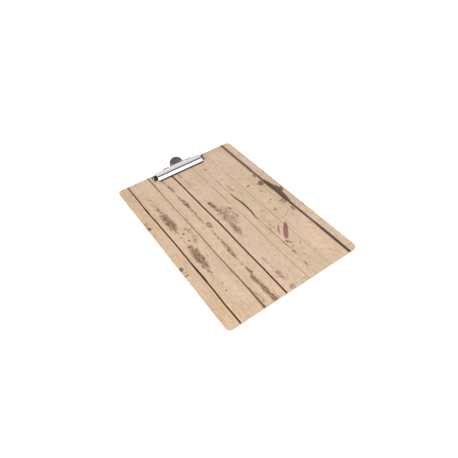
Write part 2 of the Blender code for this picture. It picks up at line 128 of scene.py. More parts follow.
class Tree:
    def __init__(self, nt):
        self.nt = nt

    def node(self, kind, **props):
        n = self.nt.nodes.new(kind)
        for k, v in props.items():
            setattr(n, k, v)
        return n

    def put(self, socket, value):
        if isinstance(value, S):
            self.nt.links.new(value.s, socket)
        elif value is not None:
            socket.default_value = value

    def math(self, op, a, b=None, c=None, clamp=False):
        n = self.node("ShaderNodeMath", operation=op, use_clamp=clamp)
        for i, v in enumerate((a, b, c)):
            if v is not None:
                self.put(n.inputs[i], v)
        return S(self, n.outputs[0])

    def vec(self, x, y, z=0.0):
        n = self.node("ShaderNodeCombineXYZ")
        for i, v in enumerate((x, y, z)):
            self.put(n.inputs[i], v)
        return S(self, n.outputs[0])

    def vmath(self, op, a, b=None, out=0):
        n = self.node("ShaderNodeVectorMath", operation=op)
        self.put(n.inputs[0], a)
        if b is not None:
            self.put(n.inputs[1], b)
        return S(self, n.outputs[out])

    def noise(self, v, scale=1.0, detail=2.0, rough=0.5, distortion=0.0, colour=False):
        n = self.node("ShaderNodeTexNoise", noise_dimensions="3D")
        self.put(n.inputs["Vector"], v)
        n.inputs["Scale"].default_value = scale
        n.inputs["Detail"].default_value = detail
        n.inputs["Roughness"].default_value = rough
        n.inputs["Distortion"].default_value = distortion
        return S(self, n.outputs[1 if colour else 0])

    def smooth(self, x, a, b, lo=0.0, hi=1.0, kind="SMOOTHSTEP"):
        n = self.node("ShaderNodeMapRange", interpolation_type=kind)
        n.clamp = kind == "LINEAR"
        for name, v in (("Value", x), ("From Min", a), ("From Max", b), ("To Min", lo), ("To Max", hi)):
            self.put(n.inputs[name], v)
        return S(self, n.outputs[0])

    def curve(self, t, points):
        """A smooth function of t in 0..1 through the points, with values in 0..1."""
        n = self.node("ShaderNodeFloatCurve")
        self.put(n.inputs["Value"], t)
        c = n.mapping.curves[0]
        pts = sorted(points)
        c.points[0].location = pts[0]
        c.points[1].location = pts[-1]
        for p in pts[1:-1]:
            c.points.new(*p)
        for p in c.points:
            p.handle_type = "AUTO_CLAMPED"
        n.mapping.update()
        return S(self, n.outputs[0])

    def mix(self, fac, a, b, blend="MIX"):
        n = self.node("ShaderNodeMix", data_type="RGBA", blend_type=blend, clamp_factor=True)
        self.put(n.inputs[0], fac)
        self.put(n.inputs[6], a)
        self.put(n.inputs[7], b)
        return S(self, n.outputs[2])

    def place(self, v, loc, angle, scale):
        """v seen from a place, turn and size: a unit circle there becomes radius 1."""
        n = self.node("ShaderNodeMapping", vector_type="TEXTURE")
        self.put(n.inputs["Vector"], v)
        n.inputs["Location"].default_value = (loc[0], loc[1], 0.0)
        n.inputs["Rotation"].default_value = (0.0, 0.0, math.radians(angle))
        n.inputs["Scale"].default_value = (scale[0], scale[1], 1.0)
        return S(self, n.outputs[0])

    def bump(self, height, strength, distance, normal=None):
        n = self.node("ShaderNodeBump")
        n.inputs["Strength"].default_value = strength
        n.inputs["Distance"].default_value = distance
        self.put(n.inputs["Height"], height)
        if normal is not None:
            self.put(n.inputs["Normal"], normal)
        return S(self, n.outputs[0])

    def object_mm(self):
        """Position on the object in the row frame, in millimetres: the vector, X, Y and Z."""
        tc = self.node("ShaderNodeTexCoord")
        v = self.vmath("SCALE", S(self, tc.outputs["Object"]))
        v.s.node.inputs["Scale"].default_value = 1000.0
        sep = self.node("ShaderNodeSeparateXYZ")
        self.put(sep.inputs[0], v)
        return v, S(self, sep.outputs[0]), S(self, sep.outputs[1]), S(self, sep.outputs[2])


def new_material(name, preview):
    m = bpy.data.materials.new(name)
    m.use_nodes = True
    m.diffuse_color = preview
    t = Tree(m.node_tree)
    return m, t, m.node_tree.nodes["Principled BSDF"]


# ------------------------------------------------------------------ the printed plank sheet
def plank_print():
    m, t, bsdf = new_material("printed_planks", srgb(212, 185, 158))
    pos, X, Yrow, Z = t.object_mm()
    Y = Yrow - face_lo.y * 1000.0
    length = (face_hi.y - face_lo.y) * 1000.0
    mirror_y = 163.5

    # Slow and fine wandering of everything printed, so that no edge is ruled.
    slow = t.noise(t.vec(X * 0.03, Y * 0.018, 4.7), detail=2.0)
    fine = t.noise(t.vec(X * 0.75, Y * 0.22, 1.3), detail=3.0, rough=0.62)
    tiny = t.noise(t.vec(X * 2.2, Y * 1.1, 8.8), detail=2.0, rough=0.6)
    Xw = X + (slow - 0.5) * 2.0 + (fine - 0.5) * 0.55
    Yw = Y + (fine - 0.5) * 1.6
    V = t.vec(Xw, Yw, 0.0)
    ragged = (fine - 0.5) * 1.5 + (tiny - 0.5) * 0.7
    flake = t.noise(t.vec(X * 0.62, Y * 0.21, 33.0), detail=4.0, rough=0.66)
    flaky = (flake - 0.5) * 7.0 + (tiny - 0.5) * 1.4
    # Worn paint: a spotty field stretched along the grain and spread evenly over 0..1.
    chip = t.noise(t.vec(X * 0.36, Y * 0.135, 71.0), detail=4.0, rough=0.62, distortion=0.25)
    chips = t.smooth(chip, 0.29, 0.71)
    fibrous = t.smooth(t.noise(t.vec(X * 1.05, Y * 0.17, 77.0), detail=3.0, rough=0.6), 0.30, 0.70)
    mottle = t.noise(t.vec(X * 0.17, Y * 0.12, 12.0), detail=4.0, rough=0.62)
    yn = Y / length

    def along(points, lo, hi):
        return t.curve(yn, [(y / length, (v - lo) / (hi - lo)) for y, v in points]) * (hi - lo) + lo

    # Marks are only made when they are joined to the others, one after another, which keeps the shader small.
    halos = []

    def later(make):
        return lambda *a, **k: lambda: make(*a, **k)

    @later
    def streak(xs, ws, ss, soft=0.45, rough=0.8, broken=0.0, seed=0.0, flakes=0.0):
        values = [v for _, v in xs]
        lo, hi = min(values) - 1.0, max(values) + 1.0
        if len(xs) == 1:
            centre = values[0]
        else:
            centre = along(xs, lo, hi)
        off = (Xw - centre).abs()
        d = off + ragged * rough + flaky * flakes
        w = ws[0][1] / 2 if len(ws) == 1 else along(ws, 0.0, 12.0) * 0.5
        s = ss[0][1] if len(ss) == 1 else along(ss, 0.0, 1.0)
        if flakes >= 0.3:
            # Dense at the middle line and thinning out into loose flakes on both sides.
            dense = t.smooth(off / (w * 1.05 + 0.55), 2.7, 0.15) * s
            mask = t.smooth(dense * 1.10 + chips * 0.62 + fibrous * 0.90 + (tiny - 0.5) * 0.5 - 1.42, -0.20, 0.20)
            mask = mask * (s * 0.36 + 0.50)
        else:
            mask = t.smooth(d, w + soft, w - soft) * s
        if flakes > 0:
            glow = t.smooth(off, w * 1.3 + 3.4, w * 0.6) * s
            halos[:] = [halos[0].max(glow) if halos else glow]
        if broken > 0 and flakes < 0.3:
            gap = t.noise(t.vec(X * 0.25, Y * 0.16, seed), detail=3.0, rough=0.6)
            mask = mask * t.smooth(gap, 0.36, 0.54, 1.0 - broken, 1.0)
        return mask

    @later
    def blob(cx, cy, rx, ry, angle=0.0, strength=0.6, rough=0.32, soft=0.35):
        r = t.vmath("LENGTH", t.place(V, (cx, cy), angle, (rx, ry)), out=1)
        return t.smooth(r + ragged * rough, 1.0 + soft, 1.0 - soft, 0.0, strength)

    def combine(masks):
        joined = None
        for mask in masks:
            mask = mask() if callable(mask) else mask
            joined = mask if joined is None else joined.max(mask)
        return joined

    # --- bare wood: planks a little apart in tone, cloudy, with long grain and short pores
    clouds = t.noise(t.vec(X * 0.030, Y * 0.014, 2.2), detail=3.0, rough=0.55)
    grain = t.noise(t.vec(X * 0.55 + (slow - 0.5) * 1.2, Y * 0.012, 5.5), detail=5.0, rough=0.62)
    fibre = t.noise(t.vec(X * 2.6, Y * 0.045, 9.1), detail=3.0, rough=0.6)
    tone = t.node("ShaderNodeValToRGB")
    tone.color_ramp.interpolation = "CONSTANT"
    t.put(tone.inputs[0], (Xw + HALF_W * 1000) / (2 * HALF_W * 1000))
    ramp = tone.color_ramp
    steps = [
        (-112.5, (210, 178, 144)),
        (-93.6, (214, 185, 158)),
        (-55.6, (213, 186, 160)),
        (-19.0, (212, 186, 163)),
        (19.8, (210, 185, 161)),
        (58.1, (209, 185, 160)),
        (96.2, (204, 181, 156)),
    ]
    ramp.elements[0].position = 0.0
    ramp.elements[0].color = srgb(*steps[0][1])
    ramp.elements[1].position = (steps[1][0] + 112.5) / 225.0
    ramp.elements[1].color = srgb(*steps[1][1])
    for x, c in steps[2:]:
        e = ramp.elements.new((x + 112.5) / 225.0)
        e.color = srgb(*c)
    bare = S(t, tone.outputs[0])
    bare = t.mix(t.smooth(clouds, 0.35, 0.68, 0.0, 0.55), bare, srgb(221, 192, 168))
    bare = t.mix(t.smooth(clouds, 0.56, 0.28, 0.0, 0.50), bare, srgb(200, 170, 138))
    bare = t.mix(t.smooth(grain, 0.50, 0.68, 0.0, 0.50), bare, srgb(180, 147, 116))
    bare = t.mix(t.smooth(grain, 0.48, 0.30, 0.0, 0.35), bare, srgb(228, 203, 179))
    bare = t.mix(t.smooth(fibre, 0.52, 0.66, 0.0, 0.36), bare, srgb(168, 135, 106))
    bare = t.mix(t.smooth(fibre, 0.46, 0.30, 0.0, 0.30), bare, srgb(236, 214, 192))
    bare = t.mix(t.smooth(mottle, 0.48, 0.34, 0.0, 0.50), bare, srgb(226, 200, 174))
    bare = t.mix(t.smooth(mottle, 0.52, 0.68, 0.0, 0.50), bare, srgb(192, 164, 134))
    olive = t.smooth(t.noise(t.vec(X * 0.03, Y * 0.02, 61.0), detail=2.0), 0.46, 0.66) * t.smooth(Xw, -30.0, 60.0, 0.10, 0.55)
    bare = t.mix(olive, bare, srgb(196, 176, 146))
    pores = t.noise(t.vec(X * 1.1, Y * 0.10, 83.0), detail=3.0, rough=0.6)
    bare = t.mix(t.smooth(pores, 0.60, 0.68, 0.0, 0.30), bare, srgb(160, 126, 96))
    speck = t.noise(t.vec(X * 0.85, Y * 0.55, 91.0), detail=3.0, rough=0.7)
    bare = t.mix(t.smooth(speck, 0.54, 0.66, 0.0, 0.44), bare, srgb(176, 146, 118))
    bare = t.mix(t.smooth(speck, 0.47, 0.34, 0.0, 0.50), bare, srgb(240, 220, 200))
    blush = t.noise(t.vec(X * 0.022, Y * 0.017, 7.3), detail=1.0)
    bare = t.mix(t.smooth(blush, 0.50, 0.72, 0.0, 0.30), bare, srgb(222, 186, 168))

    # The whole print is made a little darker towards the clip end and lighter towards the bottom edge.
    tone_along_board = t.smooth(Y, 420.0, -100.0, 0.905, 1.045)
    bare = t.mix(1.0, bare, t.vec(tone_along_board, tone_along_board, tone_along_board), blend="MULTIPLY")

    # --- joints between planks
    joints = combine(
        [
            streak(
                [(0, -93.2), (60, -93.1), (110, -93.1), (200, -93.3), (250, -94.2), (320, -93.9)],
                [(0, 2.2), (70, 2.3), (85, 3.1), (100, 3.1), (120, 2.3), (235, 2.3), (247, 3.1), (258, 2.3), (320, 2.1)],
                [(0, 1.0)],
                soft=0.35,
                rough=0.35,
            ),
            streak(
                [(0, -55.0), (60, -55.1), (160, -55.3), (250, -56.0), (320, -56.1)],
                [(0, 3.4), (15, 3.2), (40, 2.4), (70, 1.7), (160, 1.6), (250, 1.4), (280, 2.1), (320, 2.8)],
                [(0, 0.80), (60, 0.76), (160, 0.72), (250, 0.62), (320, 0.74)],
                soft=0.45,
                rough=0.5,
                flakes=0.10,
            ),
            streak(
                [(0, -18.6), (120, -18.4), (200, -18.6), (320, -20.0)],
                [(0, 2.5), (90, 2.5), (200, 2.6), (320, 2.5)],
                [(0, 1.0)],
                soft=0.35,
                rough=0.35,
            ),
            streak(
                [(0, 20.2), (40, 19.9), (90, 19.7), (120, 20.2), (160, 20.3), (200, 19.7), (260, 19.4), (320, 19.6)],
                [(0, 1.2), (60, 1.0), (120, 1.3), (170, 0.9), (200, 1.2), (320, 1.0)],
                [(0, 0.55), (70, 0.48), (130, 0.6), (165, 0.4), (200, 0.55), (260, 0.45), (320, 0.5)],
                soft=0.4,
                rough=0.6,
            ),
            streak(
                [(0, 58.1), (80, 58.4), (170, 58.2), (320, 57.6)],
                [(0, 0.9), (160, 1.0), (320, 0.8)],
                [(0, 0.42), (160, 0.52), (320, 0.42)],
                soft=0.4,
                rough=0.5,
            ),
        ]
    )

    # --- cracks and flaked paint along the grain
    cracks = combine(
        [
            streak(
                [(0, -36.2), (13, -36.8), (33, -37.4), (42, -39.4), (49, -38.4), (58, -36.3), (64, -36.2), (80, -37.2),
                 (100, -37.0), (115, -36.0), (155, -36.2), (174, -36.8), (206, -36.2), (223, -36.3), (242, -37.7),
                 (262, -37.4), (276, -37.6), (282, -39.2), (297, -40.0), (320, -40.0)],
                [(0, 5.0), (13, 4.0), (33, 3.4), (42, 3.2), (50, 2.8), (58, 2.6), (64, 1.8), (75, 1.0), (84, 1.6), (90, 2.8),
                 (101, 3.4), (110, 3.8), (118, 2.0), (150, 1.5), (155, 1.8), (172, 2.2), (178, 1.8), (195, 2.0), (206, 2.5),
                 (219, 2.6), (224, 4.2), (229, 2.6), (242, 2.8), (247, 1.4), (262, 1.6), (266, 2.8), (276, 2.6), (282, 1.6),
                 (298, 2.4), (320, 1.5)],
                [(0, 0.85), (33, 0.85), (64, 0.8), (72, 0.4), (84, 0.45), (90, 0.75), (115, 0.72), (150, 0.55), (157, 0.3),
                 (165, 0.0), (172, 0.65), (206, 0.65), (224, 0.85), (242, 0.7), (255, 0.4), (262, 0.65), (276, 0.85),
                 (284, 0.5), (298, 0.6), (320, 0.3)],
                rough=0.8, broken=0.5, seed=3.0, flakes=0.62,
            ),
            streak(
                [(0, -4.5), (8, -5.0), (20, -7.0), (42, -7.2), (65, -7.7), (80, -9.0), (116, -6.9), (130, -4.7), (193, -6.0),
                 (203, -6.6), (213, -7.7), (225, -4.0), (238, -4.0), (250, -10.0), (262, -8.1), (272, -8.1), (285, -9.4),
                 (296, -9.1), (320, -9.0)],
                [(0, 6.0), (6, 5.0), (12, 1.2), (20, 2.2), (32, 3.8), (42, 2.2), (50, 2.0), (65, 2.4), (72, 0.9), (90, 1.1),
                 (112, 1.0), (118, 1.8), (130, 6.0), (136, 4.0), (140, 1.0), (190, 3.0), (197, 4.2), (206, 2.2), (214, 1.0),
                 (225, 1.2), (240, 1.2), (250, 1.6), (262, 2.0), (272, 1.8), (280, 1.2), (286, 2.4), (298, 2.6), (320, 1.0)],
                [(0, 0.6), (6, 0.6), (12, 0.2), (20, 0.6), (32, 0.68), (42, 0.52), (50, 0.4), (65, 0.6), (70, 0.22), (90, 0.22),
                 (112, 0.22), (120, 0.5), (130, 0.65), (138, 0.2), (150, 0.0), (185, 0.2), (197, 0.7), (206, 0.6), (214, 0.35),
                 (225, 0.25), (240, 0.25), (250, 0.25), (262, 0.52), (272, 0.55), (282, 0.38), (290, 0.55), (298, 0.5),
                 (320, 0.2)],
                rough=0.8, broken=0.5, seed=6.0, flakes=0.62,
            ),
            streak(
                [(0, 33.0), (21, 33.7), (48, 35.6), (60, 34.8), (90, 34.6), (111, 34.6), (128, 33.4), (145, 35.0), (163, 35.9),
                 (181, 35.0), (206, 33.3), (264, 33.4), (278, 34.6), (300, 33.0), (320, 33.0)],
                [(0, 0.8), (15, 0.8), (21, 1.8), (27, 0.8), (40, 0.8), (48, 2.4), (54, 1.0), (62, 1.6), (70, 2.2), (76, 1.2),
                 (90, 1.3), (98, 2.2), (104, 1.8), (110, 1.0), (122, 1.0), (130, 1.5), (145, 2.5), (163, 3.3), (181, 2.8),
                 (198, 1.8), (206, 0.9), (214, 1.4), (222, 0.9), (232, 1.6), (240, 1.4), (250, 0.8), (262, 1.1), (272, 0.9),
                 (278, 2.2), (284, 0.9), (300, 0.8), (320, 0.6)],
                [(0, 0.35), (15, 0.3), (21, 0.8), (27, 0.3), (36, 0.2), (48, 0.75), (54, 0.4), (62, 0.7), (76, 0.65), (90, 0.6),
                 (104, 0.7), (112, 0.4), (122, 0.4), (128, 0.85), (145, 0.97), (163, 1.0), (185, 0.97), (200, 0.85), (208, 0.45),
                 (222, 0.5), (240, 0.5), (250, 0.3), (264, 0.35), (271, 0.3), (278, 0.7), (285, 0.15), (300, 0.25), (320, 0.2)],
                rough=0.5, flakes=0.16,
            ),
            streak(
                [(0, 40.7), (127, 40.7), (203, 40.7), (214, 40.8), (232, 41.2), (292, 41.5), (320, 41.5)],
                [(0, 0.8), (84, 1.2), (104, 1.6), (120, 1.2), (130, 0.8), (200, 1.2), (207, 2.0), (214, 3.0), (220, 1.6),
                 (232, 1.4), (244, 1.2), (285, 1.5), (292, 3.0), (298, 1.0), (320, 0.8)],
                [(0, 0.0), (76, 0.0), (86, 0.35), (104, 0.5), (122, 0.45), (130, 0.15), (140, 0.0), (194, 0.0), (203, 0.45),
                 (214, 0.6), (222, 0.3), (235, 0.3), (245, 0.2), (255, 0.0), (284, 0.0), (292, 0.25), (299, 0.0), (320, 0.0)],
                rough=0.8, broken=0.4, seed=11.0, flakes=0.5,
            ),
            streak(
                [(0, -80.5), (60, -80.8), (92, -80.8), (147, -80.2), (184, -79.0), (236, -79.0), (262, -80.8), (320, -81.0)],
                [(0, 1.0), (60, 1.6), (92, 2.0), (150, 1.0), (184, 1.4), (236, 2.6), (262, 2.0), (320, 1.0)],
                [(0, 0.15), (20, 0.2), (30, 0.0), (52, 0.0), (60, 0.4), (72, 0.35), (92, 0.5), (100, 0.4), (146, 0.35),
                 (160, 0.35), (174, 0.35), (186, 0.45), (236, 0.5), (250, 0.55), (262, 0.3), (268, 0.5), (275, 0.2),
                 (282, 0.0), (300, 0.0), (308, 0.25), (320, 0.3)],
                rough=0.8, broken=0.6, seed=14.0, flakes=0.6,
            ),
            streak(
                [(0, -49.5), (12, -49.8), (35, -53.4), (60, -54.6), (320, -55.0)],
                [(0, 1.2), (14, 1.8), (35, 1.0), (320, 1.0)],
                [(0, 0.3), (14, 0.5), (34, 0.45), (44, 0.0), (320, 0.0)],
                rough=0.8, broken=0.4, seed=17.0, flakes=0.4,
            ),
            streak(
                [(0, -30.4), (320, -30.4)],
                [(0, 1.4), (320, 0.8)],
                [(0, 0.5), (12, 0.45), (20, 0.0), (320, 0.0)],
                rough=0.8, broken=0.4, seed=19.0,
            ),
            streak(
                [(0, 64.9), (320, 64.9)],
                [(0, 1.0), (320, 1.0)],
                [(0, 0.0), (70, 0.0), (80, 0.3), (108, 0.3), (116, 0.0), (320, 0.0)],
                rough=0.8, broken=0.5, seed=23.0,
            ),
        ]
    )

    dots = combine(
        blob(*b)
        for b in [
            (-73.4, 171.1, 1.6, 1.6, 0, 0.95),
            (-73.4, 155.7, 1.6, 1.6, 0, 0.95),
            (67.9, 198.6, 2.7, 1.5, 20, 0.8),
            (75.6, 175.9, 2.2, 1.2, 35, 0.65),
            (76.2, 150.7, 1.6, 1.4, 0, 0.7),
            (67.9, 128.7, 2.7, 1.4, -10, 0.75),
            (-79.5, 50.5, 1.3, 1.3, 0, 0.75),
            (-81.0, 92.7, 1.3, 1.2, 0, 0.6),
            (-80.5, 277.0, 1.6, 1.6, 0, 0.3),
            (-77.3, 267.0, 1.0, 3.2, 10, 0.5),
            (-76.6, 63.5, 0.9, 3.2, -10, 0.45),
            (-36.3, 223.0, 3.4, 1.7, -25, 0.6),
            (52.9, 271.6, 1.2, 1.2, 0, 0.4),
            (53.6, 55.3, 1.6, 1.1, 30, 0.65),
            (61.7, 33.6, 1.6, 1.0, 0, 0.5),
            (43.4, 35.5, 1.0, 3.0, 0, 0.4),
            (78.0, 19.4, 1.0, 1.7, 0, 0.4),
            (9.6, 57.5, 1.2, 1.2, 0, 0.4),
            (39.3, 67.8, 1.4, 3.2, 10, 0.8),
            (42.6, 64.1, 1.1, 4.0, 12, 0.75),
            (40.7, 56.0, 1.3, 1.2, 0, 0.65),
            (37.6, 54.6, 0.8, 0.8, 0, 0.5),
            (13.6, 173.7, 1.8, 4.2, 0, 0.45),
            (13.9, 154.4, 1.8, 3.2, 0, 0.45),
            (49.1, 189.8, 1.5, 3.2, 0, 0.35),
            (49.5, 138.5, 1.6, 3.2, 0, 0.35),
            (53.2, 163.5, 0.7, 4.5, 0, 0.3),
            (92.0, 75.0, 1.5, 2.6, 0, 0.3),
        ]
    )

    # --- knots and stains in the warmer, purplish brown
    D = (Y - mirror_y).abs()
    VD = t.vec(Xw, D + (fine - 0.5) * 2.0, 0.0)

    @later
    def twin(cx, d, rx, ry, angle=0.0, strength=0.6, rough=0.32, soft=0.35):
        """A mark and its mirror image about the print's repeat line."""
        r = t.vmath("LENGTH", t.place(VD, (cx, d), angle, (rx, ry)), out=1)
        return t.smooth(r + ragged * rough, 1.0 + soft, 1.0 - soft, 0.0, strength)

    purple = combine(
        [
            streak(
                [(0, 96.6), (60, 96.8), (115, 96.4), (130, 96.5), (200, 96.0), (230, 95.4), (320, 95.6)],
                [(0, 4.0), (40, 5.0), (60, 4.6), (80, 3.8), (115, 3.8), (130, 4.2), (200, 3.8), (215, 3.8), (235, 4.8),
                 (300, 5.0), (320, 5.2)],
                [(0, 0.95), (100, 0.95), (230, 0.86), (320, 0.82)],
                soft=0.8, rough=0.5, flakes=0.10,
            ),
            streak(
                [(0, 96.5), (126, 96.5), (135, 97.2), (150, 97.8), (163, 98.5), (178, 97.8), (192, 96.5), (201, 96.0), (320, 96.0)],
                [(0, 0.0), (124, 1.0), (133, 6.0), (140, 8.0), (163, 9.5), (185, 7.5), (194, 5.0), (203, 1.0), (320, 0.0)],
                [(0, 0.0), (122, 0.0), (128, 0.9), (200, 0.9), (206, 0.0), (320, 0.0)],
                soft=1.0, rough=2.0, flakes=0.28,
            ),
            lambda: t.smooth(
                t.vmath("LENGTH", t.place(V, (101.0, mirror_y), 0, (7.4, 9.5)), out=1) + (chips - 0.5) * 0.55, 1.10, 0.80, 0.0, 0.84
            ),
            blob(107.0, 163.5, 4.4, 2.6, 0, 0.74, 0.4, 0.3),
            blob(90.0, 139.6, 6.4, 1.2, 8, 0.80, 0.5),
            blob(90.6, 135.6, 6.0, 1.1, 12, 0.80, 0.5),
            blob(92.0, 132.0, 4.8, 1.0, 18, 0.76, 0.5),
            blob(88.0, 190.5, 4.8, 5.6, -15, 0.80, 0.6, 0.35),
            blob(92.2, 195.0, 3.0, 3.0, 0, 0.6),
            twin(91.4, 48.6, 2.2, 5.4, 0, 0.66),
            twin(110.4, 49.3, 1.4, 3.0, 0, 0.55),
            twin(-110.3, 47.8, 3.2, 4.4, 20, 0.78, 0.6),
            twin(-108.6, 55.6, 3.6, 0.9, 12, 0.55, 0.6),
            twin(-108.8, 60.8, 3.6, 1.5, 0, 0.62, 0.6),
        ]
    )

    patch_shape = t.vmath("LENGTH", t.place(VD, (-78.8, 42.5), 0, (6.4, 25.0)), out=1)
    bulge = t.vmath("LENGTH", t.place(VD, (-75.2, 33.5), 0, (3.4, 8.5)), out=1)
    patch_shape = patch_shape.min(bulge)
    patch_dense = t.smooth(patch_shape, 1.75, 0.35)
    flakes2 = t.noise(t.vec(X * 0.95, Y * 0.42, 25.0), detail=3.0, rough=0.62)
    patch = t.smooth(patch_dense * 1.05 + chips * 0.55 + fibrous * 0.55 + (flakes2 - 0.5) * 1.6 - 1.16, -0.20, 0.22) * 0.78
    wide = t.vmath("LENGTH", t.place(VD, (-79.5, 54.0), 0, (9.5, 46.0)), out=1)
    scatter = t.smooth(t.smooth(wide, 1.25, 0.4) * 0.62 + chips * 0.8 + (flakes2 - 0.5) * 1.0 - 1.22, -0.10, 0.10) * 0.85

    arc_stain = streak(
        [(0, -66.0), (143, -66.4), (150, -65.2), (156, -63.6), (163.5, -62.5), (170, -62.8), (176, -64.9), (183, -67.0), (320, -67.0)],
        [(0, 0.5), (142, 1.2), (150, 3.4), (157, 3.4), (163, 2.6), (170, 3.6), (177, 4.6), (184, 1.6), (320, 0.5)],
        [(0, 0.0), (141, 0.0), (147, 0.62), (163, 0.55), (180, 0.66), (186, 0.0), (320, 0.0)],
        rough=1.3, broken=0.5, seed=31.0, flakes=0.5,
    )
    blotch = combine(
        [
            blob(52.4, 86.2, 16.6, 3.7, 52.3, 0.88, 0.42, 0.18),
            blob(47.5, 79.5, 9.0, 3.6, 56.0, 0.88, 0.42, 0.2),
            blob(45.6, 94.2, 8.0, 1.7, 57.0, 0.70, 0.6),
            blob(75.2, 111.4, 7.8, 0.75, 29.0, 0.6),
            blob(71.5, 217.5, 11.0, 0.9, -31.0, 0.26),
            arc_stain,
        ]
    )

    # --- ringed knots in the middle planks, worn into broken flakes
    bark = t.noise(t.vec(X * 0.42, Y * 0.30, 51.0), detail=4.0, rough=0.66, distortion=0.8)
    r3 = t.vmath("LENGTH", t.place(V, (3.2, mirror_y), 0, (11.0, 21.5)), out=1)
    swirl = ((r3 * 15.0 + (mottle - 0.5) * 16.0 + (flake - 0.5) * 8.0).sin() * 0.5 + 0.5)
    band = t.smooth(r3 + (chips - 0.5) * 0.55, 1.16, 0.80) * t.smooth(r3, 0.10, 0.30)
    worn = t.smooth(t.smooth(bark, 0.29, 0.71) * 0.9 + (swirl - 0.5) * 0.42 + t.smooth(Xw, 12.0, -8.0, -0.10, 0.14), 0.36, 0.62)
    eye = t.vmath("LENGTH", t.place(V, (7.4, mirror_y), 0, (2.7, 3.0)), out=1)
    knot3 = band * worn * t.smooth(eye, 0.75, 1.2) * 0.80
    litter = t.smooth(t.smooth(r3, 1.9, 0.5) * 0.95 + chips * 0.45 + fibrous * 0.75 + (flakes2 - 0.5) * 1.3 + t.smooth(Xw, 12.0, -8.0, -0.16, 0.10) - 1.36, -0.14, 0.20)
    knot3 = knot3.max(litter * t.smooth(eye, 0.6, 1.1) * t.smooth(bark, 0.44, 0.56, 0.35, 1.0) * 0.80)
    spear = t.vmath("LENGTH", t.place(VD, (-4.6, 27.0), 0, (3.6, 15.0)), out=1)
    knot3 = knot3.max(t.smooth(t.smooth(spear, 2.0, 0.2) * 1.1 + chips * 0.5 + fibrous * 0.85 + (flakes2 - 0.5) * 0.9 - 1.36, -0.16, 0.20) * 0.74)
    r2 = t.vmath("LENGTH", t.place(V, (-32.6, mirror_y), 0, (4.2, 7.2)), out=1)
    knot2 = t.smooth(r2 + (chips - 0.5) * 0.7 + (flake - 0.5) * 1.2, 1.15, 0.75) * t.smooth(r2 + (bark - 0.5) * 1.5, 0.15, 0.75, 0.6, 1.0) * 0.76
    knots = knot3.max(knot2)

    # --- faint growth lines bending round the big knot by the right-hand joint
    skirt = t.vmath("LENGTH", t.place(V, (99.0, mirror_y), 0, (10.0, 34.0)), out=1)
    lines = ((skirt * 21.0 + (mottle - 0.5) * 9.0).sin() * 0.5 + 0.5)
    growth = t.smooth(lines + (flake - 0.5) * 1.2, 0.62, 0.95) * t.smooth(skirt, 2.3, 1.0) * t.smooth(skirt, 0.7, 1.0) * 0.38

    # --- scratches and saw marks across the planks near the bottom edge
    row1 = t.smooth((Y - 4.7 + (slow - 0.5) * 2.0).abs() + ragged * 0.3, 0.75, 0.25) * t.smooth(X, -14.5, -12.5) * t.smooth(X, 20.5, 19.0) * 0.42
    row2 = t.smooth((Y - 9.8 + (slow - 0.5) * 3.0).abs() + ragged * 0.5, 0.85, 0.25) * t.smooth(X, 22.0, 40.0, 0.0, 0.22) 
    row2 = row2 * t.smooth(X, 88.0, 104.0, 1.0, 2.2)
    marks = row1.max(row2)

    # --- colours laid over the wood, faint ones first
    colour = bare
    worn_edge = halos[0]
    fleck = t.smooth(flakes2 + (flake - 0.5) * 0.7, 0.56, 0.66)
    halo = worn_edge * (fleck * 0.55 + 0.12)
    stray = t.smooth(flakes2 + (mottle - 0.5) * 0.7, 0.64, 0.72) * 0.40
    colour = t.mix(stray, colour, srgb(146, 112, 82))
    colour = t.mix(halo, colour, srgb(136, 100, 70))
    colour = t.mix(growth, colour, srgb(132, 104, 84))
    colour = t.mix(marks * 0.8, colour, srgb(150, 116, 84))
    colour = t.mix(knots, colour, t.mix(t.smooth(flake, 0.4, 0.6), srgb(92, 68, 46), srgb(140, 106, 76)))
    colour = t.mix(scatter, colour, srgb(112, 80, 64))
    colour = t.mix(patch, colour, t.mix(t.smooth(flakes2, 0.40, 0.60), srgb(98, 70, 56), srgb(142, 108, 90)))
    colour = t.mix(blotch, colour, t.mix(t.smooth(fibre, 0.4, 0.6), srgb(122, 80, 70), srgb(146, 102, 90)))
    inner = t.smooth(fibre, 0.35, 0.62, 0.0, 1.0)
    crack_tone = t.mix(inner, srgb(84, 54, 34), srgb(124, 88, 60))
    colour = t.mix(cracks, colour, crack_tone)
    colour = t.mix(dots, colour, srgb(70, 48, 32))
    purple_tone = t.mix(t.smooth(grain + (fibre - 0.5) * 0.8, 0.42, 0.66), srgb(62, 42, 36), srgb(108, 76, 68))
    colour = t.mix(purple, colour, purple_tone)
    joint_tone = t.mix(inner, srgb(52, 32, 18), srgb(78, 50, 28))
    colour = t.mix(joints, colour, joint_tone)

    t.put(bsdf.inputs["Base Color"], colour)
    # Satin print: a little drier over the dark ink, with faint handling marks.
    smudge = t.noise(t.vec(X * 0.012, Y * 0.012, 41.0), detail=3.0, rough=0.6)
    dark = joints.max(cracks).max(purple)
    rough = t.smooth(smudge, 0.35, 0.7, 0.44, 0.56) + dark * 0.06 + (tiny - 0.5) * 0.05
    t.put(bsdf.inputs["Roughness"], rough)
    bsdf.inputs["Specular IOR Level"].default_value = 0.14
    relief = (fibre - 0.5) * 0.25 + (tiny - 0.5) * 0.25 - dark * 0.5
    t.put(bsdf.inputs["Normal"], t.bump(relief, 0.18, 0.00008))
    return m


